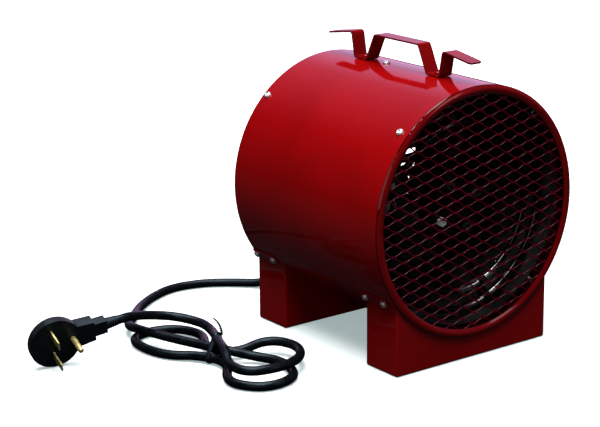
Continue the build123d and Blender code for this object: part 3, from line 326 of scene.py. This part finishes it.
node_finishes = {
    "red": ("housing_drum", "front_foot", "rear_foot", "rear_guard"),
    "ring": ("front_ring", "rear_ring"),
    "strap": ("handle_strap", "handle_screws"),
    "red_mesh": ("front_grille",),
    "screw": ("drum_screws_front", "drum_screws_rear", "bracket_screws", "foot_screws_front",
              "foot_screws_rear", "fan_set_screw", "motor_shaft"),
    "nuts": ("cross_nuts", "motor_nuts"),
    "plated": ("heat_liner", "liner_brackets", "fan_shroud", "motor_bracket"),
    "cross": ("element_cross", "element_clamps"),
    "sheath": ("element_outer", "element_inner"),
    "ceramic": ("element_terminals", "terminal_block"),
    "fan": ("fan_blades", "fan_hub"),
    "motor": ("motor_body",),
    "plastic": ("thermostat_body", "thermostat_knob", "strain_relief", "limit_cutout"),
    "wire": ("wiring",),
    "cord": ("cord_lead", "cord_hank", "cord_tail", "cord_tie"),
    "plug": ("plug_body",),
    "brass": ("plug_blades", "plug_ground_pin", "thermostat_stem"),
}


def dress(thing, material):
    """Give every material slot of an object one material."""
    if not thing.material_slots:
        thing.data.materials.append(material)
    for slot in thing.material_slots:
        slot.material = material


# ---------------------------------------------------------------- rounded edges
# How far the hard edges of a piece are rounded, as stamping, tumbling and paint leave them.
soft_edges = {
    0.0005: ("handle_strap", "motor_bracket", "strain_relief", "terminal_block"),
    0.0004: ("front_foot", "rear_foot", "cross_nuts", "motor_nuts", "limit_cutout"),
    0.0003: ("element_cross", "element_clamps", "rear_guard"),
    0.0009: ("plug_body",),
    0.0002: ("plug_blades",),
}
edge_weld = 0.00001
edge_segments = 2
edge_angle = math.radians(40)


def soften(thing, width):
    """Round the hard edges of a piece."""
    weld = thing.modifiers.new("weld", "WELD")
    weld.merge_threshold = edge_weld
    bevel = thing.modifiers.new("edges", "BEVEL")
    bevel.width = width
    bevel.segments = edge_segments
    bevel.limit_method = "ANGLE"
    bevel.angle_limit = edge_angle
    thing.modifiers.new("normals", "WEIGHTED_NORMAL")


# ---------------------------------------------------------------- mesh helpers
def mesh_piece(name, corners, faces, material, smooth=True):
    """Object from its corners and faces."""
    mesh = bpy.data.meshes.new(name)
    mesh.from_pydata([tuple(corner) for corner in corners], [], faces)
    mesh.update()
    for polygon in mesh.polygons:
        polygon.use_smooth = smooth
    piece = bpy.data.objects.new(name, mesh)
    bpy.context.collection.objects.link(piece)
    dress(piece, material)
    return piece


def add_skin(corners, faces, rings, closed_ends=True):
    """Add to a mesh the skin through rings that each have as many points."""
    count = len(rings[0])
    start = len(corners)
    corners += [point for ring in rings for point in ring]
    for number in range(len(rings) - 1):
        row = start + number * count
        for side in range(count):
            here = row + side
            beside = row + (side + 1) % count
            faces.append((here, beside, beside + count, here + count))
    if closed_ends:
        last = start + (len(rings) - 1) * count
        faces.append(tuple(reversed(range(start, start + count))))
        faces.append(tuple(range(last, last + count)))


def circle(middle, side, up, radius, count):
    """Points round a middle, in the plane of its side and up directions."""
    turns = [2 * math.pi * number / count for number in range(count)]
    return [middle + (side * math.cos(turn) + up * math.sin(turn)) * radius for turn in turns]


def eased(share):
    """Share from 0 to 1 that starts and ends level."""
    share = min(max(share, 0), 1)
    return share * share * (3 - 2 * share)


# ---------------------------------------------------------------- screws
head_radius = 0.0047
head_rise = 0.0028
head_flat = 0.4  # share of the radius over which the top is flat
head_under = 0.985  # share of the radius that the underside has
head_eye = 0.00003  # radius of the ring in the middle of the top
head_rings = 15
recess_reach = 0.0026  # length of each arm of the cross recess
recess_half = 0.0007  # half of an arm's width
recess_edge = 0.0003  # run of its walls
recess_depth = 0.0019
recess_arms = 0.55  # share of the depth that the recess has at the ends of its arms
recess_drop = 2.2  # how fast the arms drop to it
shank_radius = 0.0024
shank_tip = 0.3  # share of the radius at the tip
thread_depth = 0.0004
thread_step = 0.0005
screw_length = 0.011
screw_sides = 48
first_spin = 23  # degrees by which the first head of a group is turned
spin_step = 41  # and how much further each next one is
drum_seat = drum_radius + 0.00005  # just off the coat
strap_seat = drum_radius + 0.0023  # on the strap's flanges
foot_seat = drum_radius + 0.0016  # on the feet's flanges
mouth_angles = (46, 134, 226, 314)
foot_angles = (-37.7, 217.7)
screw_groups = {
    # piece: node, angles round the drum, radius at which the heads sit, finish and slot
    "front_screw_heads": ("drum_screws_front", mouth_angles, drum_seat, "screw", "screw_steel"),
    "rear_screw_heads": ("drum_screws_rear", mouth_angles, drum_seat, "screw", "screw_steel"),
    "bracket_screw_heads": ("bracket_screws", (90, 270), drum_seat, "screw", "screw_steel"),
    "strap_screw_heads": ("handle_screws", (90,), strap_seat, "strap", "red_paint"),
    "front_foot_screw_heads": ("foot_screws_front", foot_angles, foot_seat, "screw", "screw_steel"),
    "rear_foot_screw_heads": ("foot_screws_rear", foot_angles, foot_seat, "screw", "screw_steel"),
}


def screw_rows(node):
    """Places of a node's one or two rows of screws along the drum, from its box."""
    low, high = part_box(node)
    first = low[1] + head_radius
    last = high[1] - head_radius
    return (first, last) if last - first > head_radius else (first,)


def head_height(x, y):
    """Height of a pan head with a cross recess, over its seat."""
    out = math.hypot(x, y) / head_radius
    fall = max((out - head_flat) / (1 - head_flat), 0)
    height = head_rise * math.sqrt(max(1 - fall * fall, 0))
    narrow, wide = sorted((abs(x), abs(y)))
    wall = min(max((recess_half - narrow) / recess_edge + 0.5, 0), 1)
    slope = max(1 - wide / recess_reach, 0)
    deep = min(recess_drop * slope, 1) * (recess_arms + (1 - recess_arms) * slope)
    return height - recess_depth * wall * deep


def screw_rings(seat, out, spin):
    """Rings of one screw, from its tip up the threaded shank and over the head to its middle."""
    side = Vector((0, 1, 0))
    up = out.cross(side)
    levels = [(shank_radius * shank_tip, -screw_length)]
    for step in range(1, int(screw_length / thread_step)):
        levels.append((shank_radius - thread_depth * (step % 2), step * thread_step - screw_length))
    levels += [(shank_radius, 0), (head_radius * head_under, 0)]
    rings = [circle(seat + out * height, side, up, radius, screw_sides) for radius, height in levels]
    for step in range(head_rings, -1, -1):
        radius = max(head_radius * step / head_rings, head_eye)
        ring = []
        for number in range(screw_sides):
            turn = 2 * math.pi * number / screw_sides
            height = head_height(radius * math.cos(turn), radius * math.sin(turn))
            way = side * math.cos(turn + spin) + up * math.sin(turn + spin)
            ring.append(seat + way * radius + out * height)
        rings.append(ring)
    return rings


def make_screws(name, node, angles, seat, material):
    """Pan-head screws with threaded shanks, each turned its own way."""
    corners, faces = [], []
    spots = [(angle, row) for angle in angles for row in screw_rows(node)]
    for number, (angle, row) in enumerate(spots):
        turn = math.radians(angle)
        out = Vector((math.cos(turn), 0, math.sin(turn)))
        middle = Vector((0, row, axis_height)) + out * seat
        spin = math.radians(first_spin + spin_step * number)
        add_skin(corners, faces, screw_rings(middle, out, spin))
    screws = mesh_piece(name, corners, faces, material)
    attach(screws, "housing")
    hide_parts(node)


# ---------------------------------------------------------------- louvres of the rear guard
guard_sheet = 0.0012
guard_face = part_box("rear_guard")[0][1] + guard_sheet
louvre_rows = (  # how many slots, from how near the axis to how far, and their width
    (40, 0.095, 0.135, 0.009),
    (26, 0.062, 0.088, 0.008),
)
louvre_plain = (227, 308)  # the sector without slots, in degrees
louvre_rise = 0.0055
louvre_cover = 0.7  # share of a slot's width that its hood covers
louvre_inset = 0.04  # share of a slot's length that is left open at each end
louvre_fullness = 0.4  # the lower, the sooner a hood reaches its full height
louvre_sheet = 0.0009
louvre_arc = 6
louvre_stations = 12
louvre_crease = math.radians(50)


def louvre_rings(near, far, width, out, across):
    """Rings along one hood, each up its outer side and back down its inner side."""
    rings = []
    for station in range(louvre_stations + 1):
        share = louvre_inset + (1 - 2 * louvre_inset) * station / louvre_stations
        rise_here = louvre_rise * math.sin(math.pi * share) ** louvre_fullness
        middle = Vector((0, guard_face, axis_height)) + out * (near + (far - near) * share)
        outer, inner = [], []
        for step in range(louvre_arc + 1):
            bend = math.pi / 2 * step / louvre_arc
            for side, cut in ((outer, 0), (inner, louvre_sheet)):
                root = width / 2 + louvre_sheet - cut
                aside = root - (width * louvre_cover - cut) * (1 - math.cos(bend))
                rise = (rise_here - cut) * math.sin(bend)
                side.append(middle + across * aside + Vector((0, max(rise, 0), 0)))
        rings.append(outer + inner[::-1])
    return rings


def make_louvres(material):
    """Pressed hoods over the slots of the rear guard, each rooted on one edge of its slot."""
    corners, faces = [], []
    for count, near, far, width in louvre_rows:
        for number in range(count):
            angle = 360 * (number + 0.5) / count
            if louvre_plain[0] < angle < louvre_plain[1]:
                continue
            turn = math.radians(angle)
            out = Vector((math.cos(turn), 0, math.sin(turn)))
            across = Vector((-math.sin(turn), 0, math.cos(turn)))
            add_skin(corners, faces, louvre_rings(near, far, width, out, across))
    louvres = mesh_piece("guard_louvres", corners, faces, material)
    louvres.data.set_sharp_from_angle(angle=louvre_crease)
    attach(louvres, "housing")


# ---------------------------------------------------------------- expanded metal
mesh_long = 0.0347  # from one diamond to the next, the long way
mesh_short = 0.01435  # and the short way
mesh_turn = math.radians(-8.8)
mesh_shift = 0.0011
mesh_inset = 0.0006
mesh_steps = 9  # from knot to knot
knot_half = 0.0025
strand_width = 0.0017
strand_sheet = 0.001
strand_tilt = math.radians(38)
strand_corner = strand_sheet * 0.3
strand_ease = 0.5  # from 0, strands that bend sharply at their knots, to 1, that bend gently
strand_least = 3  # points that the shortest stretch has


def strand_middle(wave, along):
    """Height of the middle of one wavy strand above the mesh's middle line."""
    half_long = mesh_long / 2
    column = math.floor(along / half_long)
    into = along - column * half_long
    knot = strand_width * math.cos(strand_tilt) / 2
    levels = []
    for number in (column, column + 1):
        if (number + wave) % 2 == 0:
            levels.append(wave * mesh_short / 2 + knot)
        else:
            levels.append((wave + 1) * mesh_short / 2 - knot)
    share = min(max((into - knot_half) / (half_long - 2 * knot_half), 0), 1)
    share = eased(share) * strand_ease + share * (1 - strand_ease)
    return levels[0] + (levels[1] - levels[0]) * share


def strand_section():
    """Chamfered rectangle of a strand, tilted as the expanding leaves it: (up, forward) points."""
    half_up = strand_width / 2
    half_out = strand_sheet / 2
    points = []
    for up, out in ((1, 1), (-1, 1), (-1, -1), (1, -1)):
        short_up, short_out = up * (half_up - strand_corner), out * (half_out - strand_corner)
        corner = [(short_up, out * half_out), (up * half_up, short_out)]
        points += corner if up == out else corner[::-1]
    cos_tilt, sin_tilt = math.cos(strand_tilt), math.sin(strand_tilt)
    return [(up * cos_tilt - out * sin_tilt, up * sin_tilt + out * cos_tilt) for up, out in points]


def strand_stretches(wave, reach):
    """Stretches of one strand that lie within the ring, as (along, middle) points."""
    step = mesh_long / 2 / mesh_steps
    columns = int(reach / step) + 2
    stretches = [[]]
    for number in range(-columns, columns + 1):
        along = number * step
        middle = strand_middle(wave, along)
        if math.hypot(along + mesh_shift, middle) < reach:
            stretches[-1].append((along + mesh_shift, middle))
        elif stretches[-1]:
            stretches.append([])
    return [stretch for stretch in stretches if len(stretch) >= strand_least]


def make_grille(material):
    """Wavy strands, one above another, that meet at the knots of the expanded sheet."""
    reach = grille_radius - mesh_inset
    waves = int(reach / (mesh_short / 2)) + 2
    section = strand_section()
    cos_turn, sin_turn = math.cos(mesh_turn), math.sin(mesh_turn)
    corners, faces = [], []
    for wave in range(-waves, waves):
        for stretch in strand_stretches(wave, reach):
            rings = []
            for along, middle in stretch:
                ring = []
                for up, out in section:
                    x = along * cos_turn - (middle + up) * sin_turn
                    z = along * sin_turn + (middle + up) * cos_turn
                    ring.append((x, grille_place - out, axis_height + z))
                rings.append(ring)
            add_skin(corners, faces, rings)
    grille = mesh_piece("expanded_mesh", corners, faces, material)
    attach(grille, "housing")
    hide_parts("front_grille")


# ---------------------------------------------------------------- cord
cord_diameter = 0.0114
cord_roundness = 7
cord_fineness = 10
lead_points = [  # from the gland, behind the feet and over the floor to the hank
    (0.006, 0.140, 0.0564), (0.006, 0.165, 0.0564), (0.000, 0.186, 0.045), (-0.020, 0.207, 0.022),
    (-0.044, 0.234, 0.0065), (-0.070, 0.262, 0.0057), (-0.103, 0.286, 0.0057), (-0.150, 0.296, 0.0057),
    (-0.196, 0.276, 0.0057), (-0.234, 0.247, 0.006), (-0.260, 0.215, 0.008), (-0.286, 0.188, 0.0128),
    (-0.294, 0.150, 0.0193),
]
tail_points = [  # from the hank to the plug
    (-0.2365, 0.0667, 0.0251), (-0.2317, 0.0904, 0.0276), (-0.2355, 0.1104, 0.0286),
    (-0.2498, 0.1297, 0.0318), (-0.2735, 0.1392, 0.0361), (-0.2998, 0.1348, 0.0425),
    (-0.3179, 0.1265, 0.0476),
]
waist = Vector((-0.256, 0.040, 0))
lay_left = -72.0  # direction of the hank's left half, in degrees
lay_right = -64.0
lay_blend = 0.025  # how far from the waist one direction turns into the other
hank_places = [  # along the hank, aside from its middle line, height, and the cord's direction there
    (0, 0.005, 0.01655, (1, 0)),
    (0.066, 0.020, 0.008, (1, 0)),
    (0.115, -0.024, 0.0057, (0, -1)),
    (0.080, -0.064, 0.0057, (-1, 0)),
    (0, -0.007, 0.0076, (-1, 0)),
    (-0.066, -0.024, 0.0057, (-1, 0)),
    (-0.124, 0.014, 0.0057, (0, 1)),
    (-0.080, 0.054, 0.0077, (1, 0)),
    (0, 0.017, 0.009, (1, 0)),
    (0.062, 0.057, 0.017, (1, 0)),
    (0.108, 0.002, 0.01855, (-0.05, -1)),
    (0.062, -0.052, 0.01955, (-1, 0.3)),
    (0.022, -0.016, 0.0288, (-1, 1.1)),
]
hank_reach = 0.28  # how far a place's two control points lie from it, as a share of the way to the next
hank_step = 0.0005  # a short way along the cord, from which its direction is worked out
lead_last_run = 0.046  # straight on before the hank's first place
tail_first_run = 0.030  # and after its last
plug_first_run = 0.0172  # straight out of the plug
plug_centre = Vector((-0.4166, 0.1327, 0.0321))
pin_way = Vector((-0.16, -0.955, -0.25)).normalized()
cord_way = Vector((0.959, -0.21, 0.16))
cord_way = (cord_way - pin_way * cord_way.dot(pin_way)).normalized()
plug_up = pin_way.cross(cord_way)
plug_reach = 0.066  # from the plug's centre to where the lead leaves it
plug_cord_depth = 0.0085  # how far behind the centre that is


def in_plug(along, up, out):
    """Point of the plug: along its lead, up across it and out along its pins."""
    return plug_centre + cord_way * along + plug_up * up + pin_way * out


def on_hank(along, aside, height):
    """Point of the hank, whose two halves lie at slightly different directions."""
    turn = math.radians(lay_left + (lay_right - lay_left) * eased((along + lay_blend) / (2 * lay_blend)))
    x = waist.x + along * math.cos(turn) - aside * math.sin(turn)
    y = waist.y + along * math.sin(turn) + aside * math.cos(turn)
    return Vector((x, y, height))


def hank_line():
    """Control points before and after each place of the hank, and the directions at its ends."""
    places, ways = [], []
    for along, aside, height, (way_along, way_aside) in hank_places:
        here = on_hank(along, aside, height)
        ahead = on_hank(along + way_along * hank_step, aside + way_aside * hank_step, height)
        places.append(here)
        ways.append((ahead - here).normalized())
    line = [places[0]]
    for place, next_place, way, next_way in zip(places, places[1:], ways, ways[1:]):
        reach = (next_place - place).length * hank_reach
        line += [place + way * reach, next_place - next_way * reach]
    line.append(places[-1])
    return line, ways[0], ways[-1]


def make_cord(material):
    """The whole lead as one smooth spline: free stretch, tied hank and free end to the plug."""
    line, first_way, last_way = hank_line()
    points = [Vector(point) for point in lead_points]
    points.append(line[0] - first_way * lead_last_run)
    points += line
    points.append(line[-1] + last_way * tail_first_run)
    points += [Vector(point) for point in tail_points]
    plug_exit = in_plug(plug_reach, 0, -plug_cord_depth)
    points += [plug_exit + cord_way * plug_first_run, plug_exit]
    curve = bpy.data.curves.new("mains_cord", "CURVE")
    curve.dimensions = "3D"
    curve.bevel_depth = cord_diameter / 2
    curve.bevel_resolution = cord_roundness
    curve.resolution_u = cord_fineness
    curve.use_fill_caps = True
    spline = curve.splines.new("NURBS")
    spline.points.add(len(points) - 1)
    for knot, point in zip(spline.points, points):
        knot.co = (*point, 1)
    spline.order_u = 3
    spline.use_endpoint_u = True
    cord = bpy.data.objects.new("mains_cord", curve)
    bpy.context.collection.objects.link(cord)
    dress(cord, material)
    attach(cord, "housing")
    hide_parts("cord_lead", "cord_hank", "cord_tail")


# ---------------------------------------------------------------- tie round the hank
top_run = (0.0082, 0.0288)  # where the run to the plug crosses the waist
tied_runs = [(aside, height) for along, aside, height, way in hank_places if along == 0] + [top_run]
tie_steps = 32
tie_width = 0.006
tie_sheet = 0.0011
tie_slack = 0.0003
tie_section = (  # shares of the band's width and of its sheet
    (-0.5, 0.2), (-0.3, 0.9), (0, 1), (0.3, 0.9), (0.5, 0.2), (0.45, 0), (-0.45, 0),
)
path_decimals = 6  # to which the band's path is rounded, so that no two of its points nearly meet
wire_radius = 0.0011
wire_sides = 8
wire_steps = 48
wire_turns = 4.5
wire_apart = wire_radius * 0.8
wire_gather = 0.4  # share of that by which the two wires draw together at their ends
wire_root = (0.0185, 0.0285)
wire_bends = [Vector(bend) for bend in ((0.002, 0.002, 0.008), (0, 0.006, 0.016), (-0.006, 0.010, 0.0205))]


def outline_of(points):
    """Corners of the convex outline round flat points, in order."""
    ordered = sorted(set(points))
    outline = []
    for line in (ordered, ordered[::-1]):
        side = []
        for point in line:
            while len(side) > 1:
                first = (side[-1][0] - side[-2][0], side[-1][1] - side[-2][1])
                second = (point[0] - side[-1][0], point[1] - side[-1][1])
                if first[0] * second[1] - first[1] * second[0] > 0:
                    break
                side.pop()
            side.append(point)
        outline += side[:-1]
    return outline


def band_rings():
    """Rings of the band, along the outline round the runs that it ties."""
    reach = cord_diameter / 2 + tie_slack
    around = []
    for aside, height in tied_runs:
        for number in range(tie_steps):
            turn = 2 * math.pi * number / tie_steps
            point = (aside + reach * math.cos(turn), height + reach * math.sin(turn))
            around.append(tuple(round(value, path_decimals) for value in point))
    loop = outline_of(around)
    along_way = (on_hank(hank_step, 0, 0) - on_hank(-hank_step, 0, 0)).normalized()
    rings = []
    for number in range(len(loop) + 1):
        before, here, after = (loop[(number + step) % len(loop)] for step in (-1, 0, 1))
        run = Vector((after[0] - before[0], after[1] - before[1])).normalized()
        ring = []
        for side, rise in tie_section:
            lift = tie_sheet * rise
            point = on_hank(0, here[0] + run.y * lift, here[1] - run.x * lift)
            ring.append(point + along_way * side * tie_width)
        rings.append(ring)
    return rings


def wire_rings(phase):
    """Rings of one of the two wires that twist round each other, along a curve of four points."""
    root = on_hank(0, *wire_root)
    bends = [root] + [root + bend for bend in wire_bends]
    rings = []
    for number in range(wire_steps + 1):
        share = number / wire_steps
        rest = 1 - share
        weights = (rest**3, 3 * share * rest**2, 3 * share**2 * rest, share**3)
        middle = sum((bend * weight for bend, weight in zip(bends, weights)), Vector())
        spin = phase + 2 * math.pi * wire_turns * share
        apart = wire_apart * (1 - share**2 * wire_gather)
        middle += Vector((math.cos(spin), math.sin(spin), 0)) * apart
        rings.append(circle(middle, Vector((1, 0, 0)), Vector((0, 1, 0)), wire_radius, wire_sides))
    return rings


def make_tie(material):
    """Soft band pulled round the runs of the hank, with its twisted wire ends."""
    corners, faces = [], []
    add_skin(corners, faces, band_rings(), closed_ends=False)
    for phase in (0, math.pi):
        add_skin(corners, faces, wire_rings(phase))
    tie = mesh_piece("twist_tie", corners, faces, material)
    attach(tie, "housing")
    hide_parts("cord_tie")


# ---------------------------------------------------------------- ribbed sleeves at both ends of the lead
sleeve_steps = 28
sleeve_sides = 28
sleeve_ribs = 5
rib_height = 0.00035
sleeve_mouth = 0.0061  # radius where the lead leaves a sleeve
sleeve_inset = 0.001  # how far the plug's sleeve starts inside the plug
plug_side = in_plug(plug_reach - sleeve_inset, 0, -plug_cord_depth)
sleeves = {
    # piece: where it starts, its direction, length and radius at its root, and its finish
    "plug_sleeve": (plug_side, cord_way, 0.0155, 0.0074, "plug"),
    "gland_sleeve": (Vector(lead_points[0]), Vector((0, 1, 0)), 0.024, 0.0078, "plastic"),
}


def make_sleeve(name, base, way, reach, root, material):
    """Soft ribbed sleeve that tapers from the moulding onto the lead."""
    side = way.orthogonal().normalized()
    up = way.cross(side)
    rings = []
    for number in range(sleeve_steps + 1):
        share = number / sleeve_steps
        rib = rib_height * math.cos(2 * math.pi * sleeve_ribs * share)
        radius = root + (sleeve_mouth - root) * share + rib
        rings.append(circle(base + way * reach * share, side, up, radius, sleeve_sides))
    corners, faces = [], []
    add_skin(corners, faces, rings)
    sleeve = mesh_piece(name, corners, faces, material)
    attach(sleeve, "housing")


# ---------------------------------------------------------------- floor
floor_half = 6.0
floor_place = -0.0003  # just under the feet
floor_tone = (0.8, 0.8, 0.8, 1)
floor_glow_near = (0.3, 0.38, 0.38)
floor_glow_far = (1, 1, 1)
floor_glow_ends = (0.75, 1.0)  # metres from the origin
floor_dim = (0.012, 0.012, 0.014, 1)  # what the object sees of it


def make_floor():
    """Pale floor that fades to white, and stays dim to everything but the camera."""
    material = bpy.data.materials.new("floor")
    material.use_nodes = True
    nodes, links = material.node_tree.nodes, material.node_tree.links
    nodes.remove(nodes["Principled BSDF"])
    lit = nodes.new("ShaderNodeBsdfDiffuse")
    lit.inputs["Color"].default_value = floor_tone
    glow = nodes.new("ShaderNodeEmission")
    away = distance_from(nodes, links, (0, 0, 0))
    shade = between(nodes, links, away, floor_glow_near, floor_glow_far, ends=floor_glow_ends)
    links.new(shade, glow.inputs["Color"])
    seen = nodes.new("ShaderNodeAddShader")
    links.new(lit.outputs["BSDF"], seen.inputs[0])
    links.new(glow.outputs["Emission"], seen.inputs[1])
    dim = nodes.new("ShaderNodeBsdfDiffuse")
    dim.inputs["Color"].default_value = floor_dim
    mix = mix_by_ray(nodes, links, "Is Camera Ray", seen, dim)
    links.new(mix.outputs["Shader"], nodes["Material Output"].inputs["Surface"])
    signs = ((-1, -1), (1, -1), (1, 1), (-1, 1))
    corners = [(x * floor_half, y * floor_half, floor_place) for x, y in signs]
    floor = mesh_piece("floor", corners, [(0, 1, 2, 3)], material, smooth=False)


# ---------------------------------------------------------------- surround
surround_white = (1, 1, 1, 1)
surround_dim = (0.85, 0.9, 1.0, 1)
surround_dim_strength = 0.03
surround_mirrored = (1.0, 0.64, 1.12, 1)
# The studio that glossy surfaces mirror, by direction: a screen that brightens from left to right, a
# brighter crest at its right end, and how much of both there is from the front to behind the object.
screen = {"low": 0.01, "high": 0.35, "ends": (-0.4, 0.25)}
crest = {"low": 0.0, "high": 0.6, "ends": (0.3, 0.65)}
behind = {"low": 0.12, "high": 1.0, "ends": (0.42, 0.64)}


def make_surround():
    """World that is white to the camera, a bright screen to glossy surfaces and dim to the rest."""
    world = bpy.data.worlds.new("surround")
    bpy.context.scene.world = world
    world.use_nodes = True
    nodes, links = world.node_tree.nodes, world.node_tree.links
    white = nodes["Background"]
    white.inputs["Color"].default_value = surround_white
    dim = nodes.new("ShaderNodeBackground")
    dim.inputs["Color"].default_value = surround_dim
    dim.inputs["Strength"].default_value = surround_dim_strength
    mirrored = nodes.new("ShaderNodeBackground")
    mirrored.inputs["Color"].default_value = surround_mirrored
    direction = nodes.new("ShaderNodeSeparateXYZ")
    links.new(nodes.new("ShaderNodeTexCoord").outputs["Generated"], direction.inputs["Vector"])
    across = [between(nodes, links, direction.outputs["X"], **part) for part in (screen, crest)]
    glow = worked_out(nodes, links, "ADD", *across)
    share = between(nodes, links, direction.outputs["Y"], **behind)
    links.new(worked_out(nodes, links, "MULTIPLY", glow, share), mirrored.inputs["Strength"])
    unseen = mix_by_ray(nodes, links, "Is Glossy Ray", mirrored, dim)
    mix = mix_by_ray(nodes, links, "Is Camera Ray", white, unseen)
    links.new(mix.outputs["Shader"], nodes["World Output"].inputs["Surface"])


# ---------------------------------------------------------------- lights
# A large soft box overhead, a small bright lamp before it and two weak soft boxes in front.
lights = {
    # name: place, target, size, and power in watts
    "overhead": ((-0.2, 0.1, 2.6), (0, 0, 0), (2.4, 2.4), 156),
    "glint": ((-0.84, -1.03, 2.32), (-0.1, -0.14, 0.28), (0.9, 0.5), 32),
    "front_left": ((-2.2, -1.6, 1.2), (0, 0, 0.15), (1.8, 2.0), 12),
    "front_right": ((1.2, -2.4, 1.4), (0, 0, 0.2), (0.7, 1.2), 5),
}


def make_light(name, place, target, size, power):
    """Soft rectangular light that faces a point."""
    data = bpy.data.lights.new(name, "AREA")
    data.shape = "RECTANGLE"
    data.size, data.size_y = size
    data.energy = power
    light = bpy.data.objects.new(name, data)
    bpy.context.collection.objects.link(light)
    light.location = place
    light.rotation_mode = "QUATERNION"
    light.rotation_quaternion = (Vector(target) - Vector(place)).to_track_quat("-Z", "Y")


# ---------------------------------------------------------------- the scene
make_camera()
finishes = {**make_paints(), **make_metals(), **make_insulators()}
make_tie(finishes["plug"])
for piece_name, (base, way, reach, root, finish_name) in sleeves.items():
    make_sleeve(piece_name, base, way, reach, root, finishes[finish_name])
make_cord(finishes["cord"])
for finish_name, node_names in node_finishes.items():
    for node_name in node_names:
        dress(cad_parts[node_name], finishes[finish_name])
for edge_width, node_names in soft_edges.items():
    for node_name in node_names:
        soften(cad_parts[node_name], edge_width)
for piece_name, (node_name, angles, seat, finish_name, slot_name) in screw_groups.items():
    make_screws(piece_name, node_name, angles, seat, finishes[finish_name])
make_louvres(finishes["red"])
make_grille(finishes["red_mesh"])
make_floor()
make_surround()
for light_name, (place, target, size, power) in lights.items():
    make_light(light_name, place, target, size, power)
bpy.context.scene.view_settings.view_transform = "Standard"
